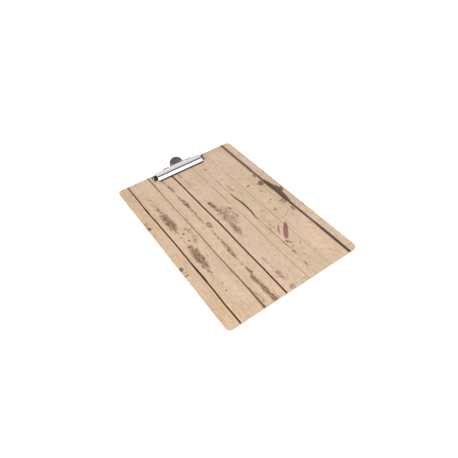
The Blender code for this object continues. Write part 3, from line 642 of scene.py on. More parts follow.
# ------------------------------------------------------------------ fibreboard edge
def fibreboard():
    m, t, bsdf = new_material("fibreboard_edge", srgb(190, 165, 135))
    pos, X, Y, Z = t.object_mm()
    v = t.vec(X, Y, Z * 4.0)
    chips = t.noise(v, scale=1.3, detail=4.0, rough=0.65)
    layers = t.noise(t.vec(X * 0.15, Y * 0.15, Z * 6.0), scale=1.0, detail=3.0, rough=0.6)
    specks = t.noise(v, scale=4.5, detail=2.0, rough=0.5)
    c = t.mix(t.smooth(chips, 0.35, 0.65), srgb(206, 188, 168), srgb(228, 213, 196))
    c = t.mix(t.smooth(layers, 0.5, 0.68, 0.0, 0.45), c, srgb(186, 164, 140))
    c = t.mix(t.smooth(specks, 0.62, 0.70, 0.0, 0.50), c, srgb(150, 124, 98))
    t.put(bsdf.inputs["Base Color"], c)
    t.put(bsdf.inputs["Roughness"], t.smooth(chips, 0.3, 0.7, 0.75, 0.92))
    bsdf.inputs["Specular IOR Level"].default_value = 0.25
    t.put(bsdf.inputs["Normal"], t.bump(chips * 0.7 + specks * 0.3, 0.5, 0.00012))
    return m


# ------------------------------------------------------------------ plain back sheet
def back_sheet():
    m, t, bsdf = new_material("plain_back_sheet", srgb(168, 140, 108))
    pos, X, Y, Z = t.object_mm()
    cloud = t.noise(t.vec(X * 0.02, Y * 0.02, 3.0), detail=3.0, rough=0.6)
    fibre = t.noise(t.vec(X * 0.9 + (cloud - 0.5) * 3.0, Y * 0.35, 5.0), detail=4.0, rough=0.7)
    fleck = t.noise(t.vec(X * 0.8, Y * 0.8, 9.0), detail=3.0, rough=0.6, distortion=0.6)
    c = t.mix(t.smooth(cloud, 0.35, 0.65), srgb(158, 130, 99), srgb(174, 147, 116))
    c = t.mix(t.smooth(fibre, 0.52, 0.70, 0.0, 0.45), c, srgb(134, 106, 78))
    c = t.mix(t.smooth(fibre, 0.46, 0.30, 0.0, 0.35), c, srgb(188, 163, 133))
    c = t.mix(t.smooth(fleck, 0.64, 0.70, 0.0, 0.6), c, srgb(112, 86, 60))
    scuff = t.noise(t.vec(X * 0.05, Y * 0.6, 13.0), detail=2.0, rough=0.5)
    c = t.mix(t.smooth(scuff, 0.66, 0.72, 0.0, 0.22), c, srgb(204, 184, 158))
    t.put(bsdf.inputs["Base Color"], c)
    t.put(bsdf.inputs["Roughness"], t.smooth(fibre, 0.3, 0.7, 0.58, 0.74))
    bsdf.inputs["Specular IOR Level"].default_value = 0.3
    t.put(bsdf.inputs["Normal"], t.bump(fibre * 0.6 + fleck * 0.4, 0.35, 0.00010))
    return m


# ------------------------------------------------------------------ plated and bare steel
def plated(name, tint, rough_lo, rough_hi, wave, scratch, along_x=True, stain=0.0, thumbed=0.0, painted_shade_under_jaw=0.0, painted_inner_shade=0.0):
    m, t, bsdf = new_material(name, (*tint, 1.0))
    pos, X, Y, Z = t.object_mm()
    cloud = t.noise(t.vec(X * 0.06, Y * 0.10, Z * 0.10), detail=3.0, rough=0.6)
    if along_x:
        lines = t.noise(t.vec(X * 0.05, Y * 7.0, Z * 7.0), detail=3.0, rough=0.65)
        hair = t.noise(t.vec(X * 0.10 + Y * 0.5, Y * 2.0 - X * 0.10, Z * 2.0), scale=2.0, detail=2.0, rough=0.7)
    else:
        lines = t.noise(t.vec(X * 7.0, Y * 0.3, Z * 0.3), detail=3.0, rough=0.65)
        hair = t.noise(t.vec(X * 2.0, Y * 0.4, Z * 2.0), scale=2.0, detail=2.0, rough=0.7)
    specks = t.noise(pos, scale=2.4, detail=2.0, rough=0.5)
    base = t.mix(t.smooth(cloud, 0.35, 0.65), (*[c * 0.94 for c in tint], 1.0), (*tint, 1.0))
    base = t.mix(t.smooth(specks, 0.68, 0.74, 0.0, 0.35), base, (*[c * 0.55 for c in tint], 1.0))
    if stain:
        warm = t.noise(t.vec(X * 0.12, Y * 0.2, Z * 0.2), detail=2.0)
        base = t.mix(t.smooth(warm, 0.48, 0.66, 0.0, stain), base, (tint[0] * 0.80, tint[1] * 0.66, tint[2] * 0.50, 1.0))
    extra = 0.0
    if painted_inner_shade:
        # Painted shade: the underside inside the fold is painted near black where shade falls under the jaw, and the
        # foot of the lip is painted dark as a painted shadow under it.
        nrm = t.node("ShaderNodeSeparateXYZ")
        t.put(nrm.inputs[0], S(t, t.node("ShaderNodeTexCoord").outputs["Normal"]))
        inside = t.smooth(S(t, nrm.outputs[2]), 0.02, -0.06) * t.smooth(Z, 11.8, 11.0)
        foot = t.smooth(Z, 4.5, 4.0)
        # The metal round the windows is painted near black too, as painted shade in the openings.
        rim = t.smooth((X.abs() - 21.65).abs(), 5.7, 5.3) * t.smooth((Y - (EDGE * 1000.0 - 5.0)).abs(), 1.65, 1.40)
        foot = foot.max(rim)
        base = t.mix((inside.max(foot * 0.85)) * painted_inner_shade, base, (tint[0] * 0.10, tint[1] * 0.075, tint[2] * 0.06, 1.0))
        extra = inside * 0.25
    if thumbed:
        # Handling marks where the thumb presses.
        high = t.smooth(Z, 11.6, 13.2)
        smear = t.noise(t.vec(X * 0.32, Y * 0.4, Z * 0.4), detail=4.0, rough=0.68, distortion=0.7)
        base = t.mix(high * t.smooth(smear, 0.45, 0.62) * thumbed, base, (tint[0] * 0.66, tint[1] * 0.52, tint[2] * 0.44, 1.0))
        extra = high * t.smooth(smear, 0.40, 0.60, 0.0, 0.22) + extra
    if painted_shade_under_jaw:
        # Painted shade: the base plate under the jaw is painted near black and made a little rougher.
        under = t.smooth(X.abs(), 50.2, 49.4) * t.smooth(Z, 5.4, 4.6)
        base = t.mix(under * painted_shade_under_jaw, base, (tint[0] * 0.10, tint[1] * 0.09, tint[2] * 0.08, 1.0))
        extra = under * 0.2
    t.put(bsdf.inputs["Base Color"], base)
    bsdf.inputs["Metallic"].default_value = 1.0
    r = extra + t.smooth(cloud, 0.3, 0.7, rough_lo, rough_hi) + (lines - 0.5) * 0.06 + t.smooth(hair, 0.66, 0.72, 0.0, scratch)
    t.put(bsdf.inputs["Roughness"], r.clamp())
    swell = t.noise(t.vec(X * 0.045, Y * 0.16, Z * 0.16), detail=1.0)
    n1 = t.bump(swell, wave, 0.0006)
    t.put(bsdf.inputs["Normal"], t.bump(lines * 0.5 + hair * 0.5, 0.06, 0.00004, n1))
    return m


MAT_FACE = plank_print()
MAT_EDGE = fibreboard()
MAT_BACK = back_sheet()
# The jaw carries painted shade inside its fold, a painted shadow at its foot and painted shade round its windows.
MAT_JAW = plated("polished_nickel_jaw", (0.80, 0.765, 0.76), 0.06, 0.11, 0.05, 0.08, thumbed=0.85, painted_inner_shade=0.9)
# The base plate carries painted shade where the jaw covers it.
MAT_BASE = plated("satin_nickel_base", (0.74, 0.73, 0.72), 0.16, 0.24, 0.10, 0.12, painted_shade_under_jaw=0.9)
MAT_PIN = plated("drawn_steel_pin", (0.10, 0.098, 0.095), 0.22, 0.34, 0.02, 0.10)
MAT_SPRING = plated("spring_wire", (0.34, 0.335, 0.33), 0.22, 0.32, 0.02, 0.06, stain=0.3)
MAT_RIVET = plated("zinc_rivets", (0.66, 0.655, 0.65), 0.22, 0.34, 0.08, 0.10)


# ------------------------------------------------------------------ mesh helpers
def link(ob):
    bpy.context.scene.collection.objects.link(ob)
    return ob


def finish_piece(ob, mat, body, node, angle=32.0):
    ob.data.materials.clear()
    ob.data.materials.append(mat)
    ob.data.shade_smooth()
    ob.data.set_sharp_from_angle(angle=math.radians(angle))
    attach(ob, body)
    if node:
        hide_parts(*([node] if isinstance(node, str) else node))
    return ob


def apply_modifiers(ob):
    bpy.context.view_layer.update()
    dg = bpy.context.evaluated_depsgraph_get()
    me = bpy.data.meshes.new_from_object(ob.evaluated_get(dg))
    old = ob.data
    ob.modifiers.clear()
    ob.data = me
    me.name = ob.name
    if old.users == 0:
        bpy.data.meshes.remove(old)
    return ob


def arc(cx, cy, radius, start, end, steps):
    return [
        (cx + radius * math.cos(math.radians(start + (end - start) * i / steps)),
         cy + radius * math.sin(math.radians(start + (end - start) * i / steps)))
        for i in range(steps + 1)
    ]


def circle(cx, cy, r, steps):
    return arc(cx, cy, r, 0, 360 - 360 / steps, steps - 1)


def rounded(half_x, half_y, radius, steps, cx=0.0, cy=0.0):
    pts = []
    for sx, sy, a in ((1, 1, 0), (-1, 1, 90), (-1, -1, 180), (1, -1, 270)):
        pts += arc(cx + sx * (half_x - radius), cy + sy * (half_y - radius), radius, a, a + 90, steps)
    return pts


def filled(outlines):
    """A flat mesh (metres) filled between a closed outline and its holes, all given in millimetres."""
    cu = bpy.data.curves.new("blank", "CURVE")
    cu.dimensions = "2D"
    cu.fill_mode = "BOTH"
    for pts in outlines:
        sp = cu.splines.new("POLY")
        sp.points.add(len(pts) - 1)
        for p, (x, y) in zip(sp.points, pts):
            p.co = (x * MM, y * MM, 0.0, 1.0)
        sp.use_cyclic_u = True
    ob = link(bpy.data.objects.new("blank", cu))
    bpy.context.view_layer.update()
    me = bpy.data.meshes.new_from_object(ob.evaluated_get(bpy.context.evaluated_depsgraph_get()))
    bpy.data.objects.remove(ob, do_unlink=True)
    bm = bmesh.new()
    bm.from_mesh(me)
    bmesh.ops.remove_doubles(bm, verts=bm.verts, dist=1e-7)
    # One skin only, facing up.
    for f in list(bm.faces):
        if f.normal.z < 0:
            f.normal_flip()
    bpy.data.meshes.remove(me)
    return bm


def slab(name, outlines, z0, z1, round_top, round_bottom):
    """A plate between two heights, with square edges; round_top and round_bottom are not used."""
    bm = filled(outlines)
    bmesh.ops.dissolve_limit(bm, angle_limit=math.radians(1), verts=bm.verts, edges=bm.edges)
    for v in bm.verts:
        v.co.z = z1
    up = list(bm.faces)
    top_edges = [e for e in bm.edges if e.is_boundary]
    geo = bmesh.ops.extrude_face_region(bm, geom=up)
    moved = [g for g in geo["geom"] if isinstance(g, bmesh.types.BMVert)]
    for v in moved:
        v.co.z = z0
    bmesh.ops.recalc_face_normals(bm, faces=bm.faces)
    me = bpy.data.meshes.new(name)
    bm.to_mesh(me)
    bm.free()
    ob = link(bpy.data.objects.new(name, me))
    return ob


# ------------------------------------------------------------------ sheet metal: flat blanks, cut, rounded and folded
def offset_loop(pts, d):
    """The closed loop moved d to its left."""
    out = []
    n = len(pts)
    for i in range(n):
        a, b, c = Vector(pts[i - 1]), Vector(pts[i]), Vector(pts[(i + 1) % n])
        e1, e2 = (b - a).normalized(), (c - b).normalized()
        n1, n2 = Vector((-e1.y, e1.x)), Vector((-e2.y, e2.x))
        m = (n1 + n2).normalized()
        out.append(b + m * (d / max(0.4, m.dot(n1))))
    return out


def signed_area(pts):
    return 0.5 * sum(
        pts[i - 1][0] * pts[i][1] - pts[i][0] * pts[i - 1][1] for i in range(len(pts))
    )


def fillet(corners, steps=8):
    """A closed loop through (x, y, radius) corners, each rounded by its own radius."""
    out = []
    n = len(corners)
    for i in range(n):
        p = Vector(corners[i][:2])
        r = corners[i][2]
        if r <= 0:
            out.append(tuple(p))
            continue
        a = (Vector(corners[i - 1][:2]) - p).normalized()
        b = (Vector(corners[(i + 1) % n][:2]) - p).normalized()
        half = a.angle(b) / 2
        t = r / math.tan(half)
        c = p + (a + b).normalized() * (r / math.sin(half))
        s, e = p + a * t, p + b * t
        a0 = math.atan2(s.y - c.y, s.x - c.x)
        a1 = math.atan2(e.y - c.y, e.x - c.x)
        d = (a1 - a0 + math.pi) % (2 * math.pi) - math.pi
        for k in range(steps + 1):
            ang = a0 + d * k / steps
            out.append((c.x + r * math.cos(ang), c.y + r * math.sin(ang)))
    return out


def blank(outer, holes, thick, rim, steps=4):
    """A flat plate in millimetres: two axes in its plane, w through it, its edges rounded by rim."""
    loops = []
    for k, loop in enumerate([outer] + list(holes)):
        ccw = signed_area(loop) > 0
        loops.append(list(loop) if ccw == (k == 0) else list(reversed(loop)))
    prof = []
    for i in range(steps + 1):
        a = math.radians(90.0 * i / steps)
        prof.append((rim * (1 - math.sin(a)), thick / 2 - rim * (1 - math.cos(a))))
    prof += [(ins, -w) for ins, w in reversed(prof)]
    bm = bmesh.new()
    rings = []
    for loop in loops:
        rings.append([[bm.verts.new((p[0], p[1], w)) for p in offset_loop(loop, ins)] for ins, w in prof])
    for stack in rings:
        for a, b in zip(stack, stack[1:]):
            n = len(a)
            for i in range(n):
                j = (i + 1) % n
                bm.faces.new((a[i], b[i], b[j], a[j]))
    for side in (0, -1):
        edges = []
        for stack in rings:
            ring = stack[side]
            edges += [bm.edges.get((ring[i - 1], ring[i])) for i in range(len(ring))]
        bmesh.ops.triangle_fill(bm, use_beauty=True, use_dissolve=False, edges=edges, normal=(0, 0, 1 if side == 0 else -1))
    bmesh.ops.recalc_face_normals(bm, faces=bm.faces)
    return bm


def cut(bm, axis, values, keep=None):
    """Splits the blank along lines, without removing anything."""
    for v in values:
        co = [0.0, 0.0, 0.0]
        no = [0.0, 0.0, 0.0]
        co[axis], no[axis] = v, 1.0
        faces = [f for f in bm.faces if keep is None or keep(f.calc_center_median())]
        geom = list({v2 for f in faces for v2 in f.verts}) + list({e for f in faces for e in f.edges}) + faces
        bmesh.ops.bisect_plane(bm, geom=geom, dist=1e-5, plane_co=co, plane_no=no)


def fold(bm, name, place):
    """Moves every vertex of a blank to its folded place, given and returned in millimetres."""
    for v in bm.verts:
        v.co = place(v.co.x, v.co.y, v.co.z) * MM
    bmesh.ops.recalc_face_normals(bm, faces=bm.faces)
    me = bpy.data.meshes.new(name)
    bm.to_mesh(me)
    bm.free()
    return link(bpy.data.objects.new(name, me))


class Bends:
    """The middle line of a bent sheet: straight runs and arcs, walked by distance."""

    def __init__(self, start, heading, parts):
        self.segs = []
        x, y, h, s = start[0], start[1], math.radians(heading), 0.0
        for length, radius, angle in parts:
            if angle == 0:
                self.segs.append((s, length, x, y, h, 0.0, 0))
                x += length * math.cos(h)
                y += length * math.sin(h)
            else:
                length = radius * math.radians(abs(angle))
                side = 1 if angle > 0 else -1
                self.segs.append((s, length, x, y, h, radius, side))
                cx, cy = x - side * radius * math.sin(h), y + side * radius * math.cos(h)
                h += math.radians(angle)
                x, y = cx + side * radius * math.sin(h), cy - side * radius * math.cos(h)
            s += length
        self.length = s
        self.end = (x, y)

    def start_of(self, k):
        return self.segs[k][0] if k < len(self.segs) else self.length

    def at(self, s, w=0.0):
        for seg in self.segs:
            if s <= seg[0] + seg[1] + 1e-9:
                break
        s0, length, x, y, h, radius, side = seg
        d = s - s0
        if side == 0:
            px, py, hh = x + d * math.cos(h), y + d * math.sin(h), h
        else:
            hh = h + side * d / radius
            cx, cy = x - side * radius * math.sin(h), y + side * radius * math.cos(h)
            px, py = cx + side * radius * math.sin(hh), cy - side * radius * math.cos(hh)
        return px - w * math.sin(hh), py + w * math.cos(hh)


def steps_between(a, b, n):
    return [a + (b - a) * i / n for i in range(n + 1)]


def weigh_normals(ob):
    m = ob.modifiers.new("flat_faces_stay_flat", "WEIGHTED_NORMAL")
    m.mode = "FACE_AREA"
    m.weight = 100
    m.keep_sharp = True
    m.thresh = 0.01
    return ob


edge = EDGE * 1000.0
pivot_y = HINGE.y * 1000.0
pivot_z = HINGE.z * 1000.0
half_x = HALF_W * 1000.0
half_y = (face_hi.y - face_lo.y) * 500.0
mid_y = (face_hi.y + face_lo.y) * 500.0
top = TOP * 1000.0
rivet_lo, rivet_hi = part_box("rivet_right")
rivet_x = (rivet_lo.x + rivet_hi.x) * 500.0
rivet_y = (rivet_lo.y + rivet_hi.y) * 500.0
STEEL = 0.9
plate_top = 10.83


# ------------------------------------------------------------------ board
CORNER = 8.0


def board_outline(inset=0.0):
    return [(x, y + mid_y) for x, y in rounded(half_x - inset, half_y - inset, CORNER - inset, 24)]


def sheet(name, lo, hi, hole, mat, node, rim):
    holes = [circle(s * rivet_x, rivet_y, hole, 48) for s in (-1, 1)]
    t = (hi - lo)
    bm = blank(board_outline(), holes, t, rim, steps=4)
    ob = fold(bm, name, lambda x, y, w: Vector((x, y, (lo + hi) / 2 + w)))
    weigh_normals(ob)
    return finish_piece(ob, mat, "board", node)


sheet("print_sheet", face_lo.z * 1000, face_hi.z * 1000, 1.8, MAT_FACE, "face_sheet", 0.16)
sheet("backing", back_lo.z * 1000, back_hi.z * 1000, 4.0, MAT_BACK, "backing_sheet", 0.14)


def ripple(x, y, z):
    """Small uneven bites along the cut edge of the board, between 0 and 1."""
    a = math.sin(x * 1.7 + 3.1 * math.sin(y * 0.9) + z * 2.3)
    b = math.sin(y * 2.3 + 2.2 * math.sin(x * 1.1 + z * 1.9))
    c = math.sin((x + y) * 5.1 + z * 7.0) * math.sin((x - y) * 4.3 + 1.3 * z)
    return max(0.0, min(1.0, 0.5 + 0.22 * a + 0.22 * b + 0.18 * c))


def make_core():
    z0, z1 = back_hi.z * 1000 + 0.012, face_lo.z * 1000 - 0.012
    rows = 9
    corner_steps = 26
    base = rounded(half_x, half_y, CORNER, corner_steps)
    # Straight runs are split up as well, so that the cut edge can be uneven all the way round.
    pts = []
    n = len(base)
    for i in range(n):
        a, b = Vector(base[i]), Vector(base[(i + 1) % n])
        k = max(1, int((b - a).length / 0.9))
        pts += [a.lerp(b, j / k) for j in range(k)]
    pts = [Vector((p.x, p.y + mid_y)) for p in pts]
    centre = Vector((0, mid_y))
    n = len(pts)
    normals = []
    for i in range(n):
        d = (pts[(i + 1) % n] - pts[i - 1]).normalized()
        normals.append(Vector((d.y, -d.x)))
    bm = bmesh.new()
    grid = []
    for r in range(rows + 1):
        f = r / rows
        z = z0 + (z1 - z0) * f
        belly = 0.03 + 0.05 * (1 - (2 * f - 1) ** 2)
        row = []
        for p, nn in zip(pts, normals):
            d = belly * ripple(p.x, p.y, z * 1.7) + 0.02
            if r in (0, rows):
                d += 0.05
            q = p - nn * d
            row.append(bm.verts.new((q.x * MM, q.y * MM, z * MM)))
        grid.append(row)
    for a, b in zip(grid, grid[1:]):
        for i in range(n):
            j = (i + 1) % n
            bm.faces.new((a[i], a[j], b[j], b[i]))
    hole_rings = []
    for s in (-1, 1):
        stack = []
        for radius, z in ((1.8, z1), (1.8, 1.55), (1.85, 1.5), (3.95, 1.5), (4.0, 1.45), (4.0, z0)):
            stack.append([bm.verts.new((x * MM, y * MM, z * MM)) for x, y in circle(s * rivet_x, rivet_y, radius, 48)])
        hole_rings.append(stack)
        for a, b in zip(stack, stack[1:]):
            for i in range(48):
                j = (i + 1) % 48
                bm.faces.new((a[i], b[i], b[j], a[j]))
    for outer, k, up in ((grid[-1], 0, 1), (grid[0], -1, -1)):
        edges = [bm.edges.get((outer[i - 1], outer[i])) for i in range(n)]
        for stack in hole_rings:
            edges += [bm.edges.get((stack[k][i - 1], stack[k][i])) for i in range(48)]
        bmesh.ops.triangle_fill(bm, use_beauty=True, use_dissolve=False, edges=edges, normal=(0, 0, up))
    bmesh.ops.recalc_face_normals(bm, faces=bm.faces)
    me = bpy.data.meshes.new("core")
    bm.to_mesh(me)
    bm.free()
    ob = link(bpy.data.objects.new("core", me))
    return finish_piece(ob, MAT_EDGE, "board", "board_core", angle=50)


make_core()

# ------------------------------------------------------------------ base plate
ear_mid = base_hi.x * 1000 - STEEL / 2
strip_mid = base_lo.z * 1000 + STEEL / 2
ear_top = base_hi.z * 1000
base_front, base_back = base_lo.y * 1000, base_hi.y * 1000
BASE_BEND = 1.45
rise = ear_top - strip_mid - BASE_BEND
run = 2 * (ear_mid - BASE_BEND)
base_line = Bends(
    (-ear_mid, ear_top),
    -90.0,
    [(rise, 0, 0), (0, BASE_BEND, 90), (run, 0, 0), (0, BASE_BEND, 90), (rise, 0, 0)],
)


def make_base():
    total = base_line.length
    ear_half = 3.6
    shoulder = rise + 0.32
    s_l = lambda v: v
    corners_left = fillet_open(
        [(s_l(rise + 6), base_front, 0), (s_l(shoulder), base_front, 1.0), (s_l(shoulder), pivot_y - ear_half, 0.55),
         (s_l(ear_half), pivot_y - ear_half, 0)]
    )
    dome_left = [(s_l(ear_half - ear_half * math.sin(math.radians(a))), pivot_y - ear_half * math.cos(math.radians(a))) for a in range(4, 180, 4)]
    down_left = fillet_open(
        [(s_l(ear_half), pivot_y + ear_half, 0), (s_l(shoulder), pivot_y + ear_half, 0.55), (s_l(shoulder), base_back, 1.0),
         (s_l(rise + 6), base_back, 0)]
    )
    left_side = corners_left + dome_left + down_left
    right_side = [(total - s, y) for s, y in reversed(left_side)]
    outline = left_side + right_side
    s_x = lambda x: rise + BASE_BEND * math.pi / 2 + (x + ear_mid - BASE_BEND)
    hole_s = ear_top - pivot_z
    holes = [
        circle(hole_s, pivot_y, 1.25, 36),
        circle(total - hole_s, pivot_y, 1.25, 36),
        circle(s_x(-rivet_x), rivet_y, 1.8, 48),
        circle(s_x(rivet_x), rivet_y, 1.8, 48),
    ]
    bm = blank(outline, holes, STEEL, 0.16, steps=4)
    for k in (1, 3):
        cut(bm, 0, steps_between(base_line.start_of(k), base_line.start_of(k + 1), 16))

    def place(s, y, w):
        x, z = base_line.at(s, w)
        return Vector((x, y, z))

    ob = fold(bm, "base_plate", place)
    weigh_normals(ob)
    return finish_piece(ob, MAT_BASE, "board", "clip_base_plate")


def fillet_open(corners, steps=8):
    """Like fillet, for an open run of corners whose two ends stay as they are."""
    out = [tuple(corners[0][:2])]
    for i in range(1, len(corners) - 1):
        p = Vector(corners[i][:2])
        r = corners[i][2]
        a = (Vector(corners[i - 1][:2]) - p).normalized()
        b = (Vector(corners[i + 1][:2]) - p).normalized()
        half = a.angle(b) / 2
        t = r / math.tan(half)
        c = p + (a + b).normalized() * (r / math.sin(half))
        s, e = p + a * t, p + b * t
        a0 = math.atan2(s.y - c.y, s.x - c.x)
        a1 = math.atan2(e.y - c.y, e.x - c.x)
        d = (a1 - a0 + math.pi) % (2 * math.pi) - math.pi
        for k in range(steps + 1):
            ang = a0 + d * k / steps
            out.append((c.x + r * math.cos(ang), c.y + r * math.sin(ang)))
    out.append(tuple(corners[-1][:2]))
    return out


make_base()

# ------------------------------------------------------------------ jaw
jaw_half = jaw_hi.x * 1000
TAB_R = 13.5
TAB_X = 0.0
WINDOW_X = 0.0
TAB_SHEET = 0.8
TAB_BEND = 5.0
foot_start = (edge - 20.42, pivot_z - 3.52)
FOOT_ANGLE = 18.0
CURL = 4.4
front_run = [(0, 2.0, 58.6 - FOOT_ANGLE), (4.55, 0, 0), (0, 3.6, -51.6), (0, 48.0, -7.0)]
y_flat, plate_mid = Bends(foot_start, FOOT_ANGLE, front_run).end
curl_start = edge - 5.6
plate_line = Bends(
    foot_start, FOOT_ANGLE, front_run + [(curl_start - y_flat, 0, 0), (0, CURL, -85.0)]
)
s_flat = plate_line.start_of(4)
s_of_y = lambda y: s_flat + (y - y_flat)
s_curl = plate_line.start_of(5)
s_end = plate_line.length
s_tab = s_of_y(edge - 6.7)
tab_start = plate_line.at(s_tab)
tab_line = Bends(tab_start, 0.0, [(0, TAB_BEND, 45.0), (20.0, 0, 0)])
tab_flat = tab_line.start_of(1)
tab_centre = s_tab + tab_flat - 3.168


def make_jaw():
    slot_s = s_tab + 0.3
    outline = []
    outline += fillet_open([(0.0, 0.0, 0), (jaw_half, 0.0, 0.55), (jaw_half, s_end, 0.8), (TAB_X + TAB_R + 0.8, s_end, 0.45), (TAB_X + TAB_R + 0.8, slot_s + 0.4, 0)])[1:-1]
    outline += [(TAB_X + TAB_R + 0.4 + 0.4 * math.cos(math.radians(a)), slot_s + 0.4 - 0.4 * math.sin(math.radians(a))) for a in range(0, 181, 20)]
    outline += [(TAB_X + TAB_R * math.cos(math.radians(a)), tab_centre + TAB_R * math.sin(math.radians(a))) for a in range(2, 179, 2)]
    outline += [(TAB_X - TAB_R - 0.4 + 0.4 * math.cos(math.radians(a)), slot_s + 0.4 - 0.4 * math.sin(math.radians(a))) for a in range(0, 181, 20)]
    outline += fillet_open([(TAB_X - TAB_R - 0.8, slot_s + 0.4, 0), (TAB_X - TAB_R - 0.8, s_end, 0.45), (-jaw_half, s_end, 0.8), (-jaw_half, 0.0, 0.55), (0.0, 0.0, 0)])[1:-1]
    windows = []
    for s in (-1, 1):
        s0 = s_of_y(edge - 6.4)
        s1 = s_curl + CURL * math.asin((edge - 3.6 - curl_start) / CURL)
        windows.append([(WINDOW_X + s * 21.65 + x, (s0 + s1) / 2 + y) for x, y in rounded(5.35, (s1 - s0) / 2, 0.8, 8)])
    bm = blank(outline, windows, STEEL, 0.20, steps=4)
    cut(bm, 1, steps_between(0.0, plate_line.start_of(1), 12)[1:])
    cut(bm, 1, steps_between(plate_line.start_of(2), plate_line.start_of(3), 26))
    cut(bm, 1, steps_between(plate_line.start_of(3), s_flat, 14)[1:])
    beside = lambda c: abs(c.x - TAB_X) > TAB_R + 0.4 and c.y > s_curl - 0.5
    cut(bm, 1, steps_between(s_curl, s_end, 24)[:-1], beside)
    on_tab = lambda c: abs(c.x - TAB_X) < TAB_R + 0.1 and c.y > s_tab - 1e-4
    cut(bm, 1, [s_tab])
    cut(bm, 1, steps_between(s_tab, s_tab + tab_flat, 18)[1:], on_tab)
    cut(bm, 1, steps_between(s_tab + tab_flat, tab_centre + TAB_R, 26)[1:-1], on_tab)
    cut(bm, 0, steps_between(TAB_X - TAB_R, TAB_X + TAB_R, 54)[1:-1], on_tab)

    def place(x, s, w):
        if s > s_tab and abs(x - TAB_X) < TAB_R + 0.05:
            d = s - s_tab
            thin = TAB_SHEET / STEEL
            k = min(1.0, d / tab_flat)
            w2 = w * (1 + (thin - 1) * k)
            rho = (((x - TAB_X) / TAB_R) ** 2 + ((s - tab_centre) / TAB_R) ** 2)
            rim = max(0.0, (math.sqrt(rho) - 0.84) / 0.16)
            dish = (0.66 - 0.30 * max(0.0, 1 - rho) - 0.75 * rim * rim) * k * k
            y, z = tab_line.at(d, w2 + dish)
        else:
            y, z = plate_line.at(s, w)
        return Vector((x, y, z))

    ob = fold(bm, "jaw", place)
    weigh_normals(ob)
    # Lugs, pressed on under the plate, one at each side of the springs.
    for s in (-1, 1):
        x_mid = s * (29.0 + STEEL / 2)
        pts = [(pivot_y - 3.9, pivot_z + 3.05), (pivot_y - 3.35, pivot_z + 2.6)]
        a0 = 205
        pts = arc(pivot_y, pivot_z, 2.6, 184, 356, 30)
        outline2 = [(pivot_y + 3.5, pivot_z + 3.15), (pivot_y - 3.5, pivot_z + 3.15)] + pts
        lug = blank(outline2, [circle(pivot_y, pivot_z, 1.3, 36)], STEEL, 0.12, steps=3)
        lob = fold(lug, "lug", lambda u, v, w: Vector((x_mid + w, u, v)))
        bm2 = bmesh.new()
        bm2.from_mesh(ob.data)
        bm2.from_mesh(lob.data)
        bm2.to_mesh(ob.data)
        bm2.free()
        bpy.data.objects.remove(lob, do_unlink=True)
    return finish_piece(ob, MAT_JAW, "jaw", "clip_jaw")


make_jaw()


# ------------------------------------------------------------------ turned pieces
def turned(name, profile, steps, place, wobble=None):
    """A closed solid turned from (radius, height) points, from its top round its outside to its bottom.
    wobble(radius, height, angle) may move a point in or out, for crimps and hammer marks."""
    bm = bmesh.new()
    rings = []
    for r, z in profile:
        if r == 0:
            rings.append(bm.verts.new(place(0.0, 0.0, z) * MM))
        else:
            ring = []
            for i in range(steps):
                a = 2 * math.pi * i / steps
                rr, zz = wobble(r, z, a) if wobble else (r, z)
                ring.append(bm.verts.new(place(rr * math.cos(a), rr * math.sin(a), zz) * MM))
            rings.append(ring)
    closed = not isinstance(rings[0], bmesh.types.BMVert)
    pairs = list(zip(rings, rings[1:])) + ([(rings[-1], rings[0])] if closed else [])
    for a, b in pairs:
        for i in range(steps):
            j = (i + 1) % steps
            if isinstance(a, bmesh.types.BMVert):
                bm.faces.new((a, b[i], b[j]))
            elif isinstance(b, bmesh.types.BMVert):
                bm.faces.new((a[i], b, a[j]))
            else:
                bm.faces.new((a[i], b[i], b[j], a[j]))
    bmesh.ops.recalc_face_normals(bm, faces=bm.faces)
    me = bpy.data.meshes.new(name)
    bm.to_mesh(me)
    bm.free()
    return link(bpy.data.objects.new(name, me))


def make_pin():
    half = pin_hi.x * 1000
    head_in = half - 0.55
    r_head = (pin_hi.z - pin_lo.z) * 500
    prof = [(0.0, half - 0.03)]
    for a in (10, 25, 40, 55, 70, 85):
        rad = math.radians(a)
        prof.append((r_head * 0.62 * math.sin(rad) + (r_head * 0.38) * (1 - math.cos(rad)), half - 0.42 * (1 - math.cos(rad))))
    prof += [(r_head, half - 0.46), (r_head, head_in + 0.05), (r_head - 0.05, head_in), (1.12, head_in), (1.1, head_in - 0.04)]
    prof += [(1.1, z) for z in (40.0, 20.0, 0.0)]
    full = prof + [(r, -z) for r, z in reversed(prof[:-1])]

    def hammer(r, z, a):
        if abs(z) > head_in + 0.02 and r > 0.4:
            k = 0.03 * math.sin(5 * a + (1 if z > 0 else 2.3)) + 0.015 * math.sin(9 * a + 1.1)
            return min(r_head, r * (1 - 0.02 + k * 0.8)), z
        return r, z

    ob = turned("pin", full, 40, lambda u, v, z: Vector((z, pivot_y + u, pivot_z + v)), hammer)
    return finish_piece(ob, MAT_PIN, "board", "hinge_pin", angle=40)


make_pin()


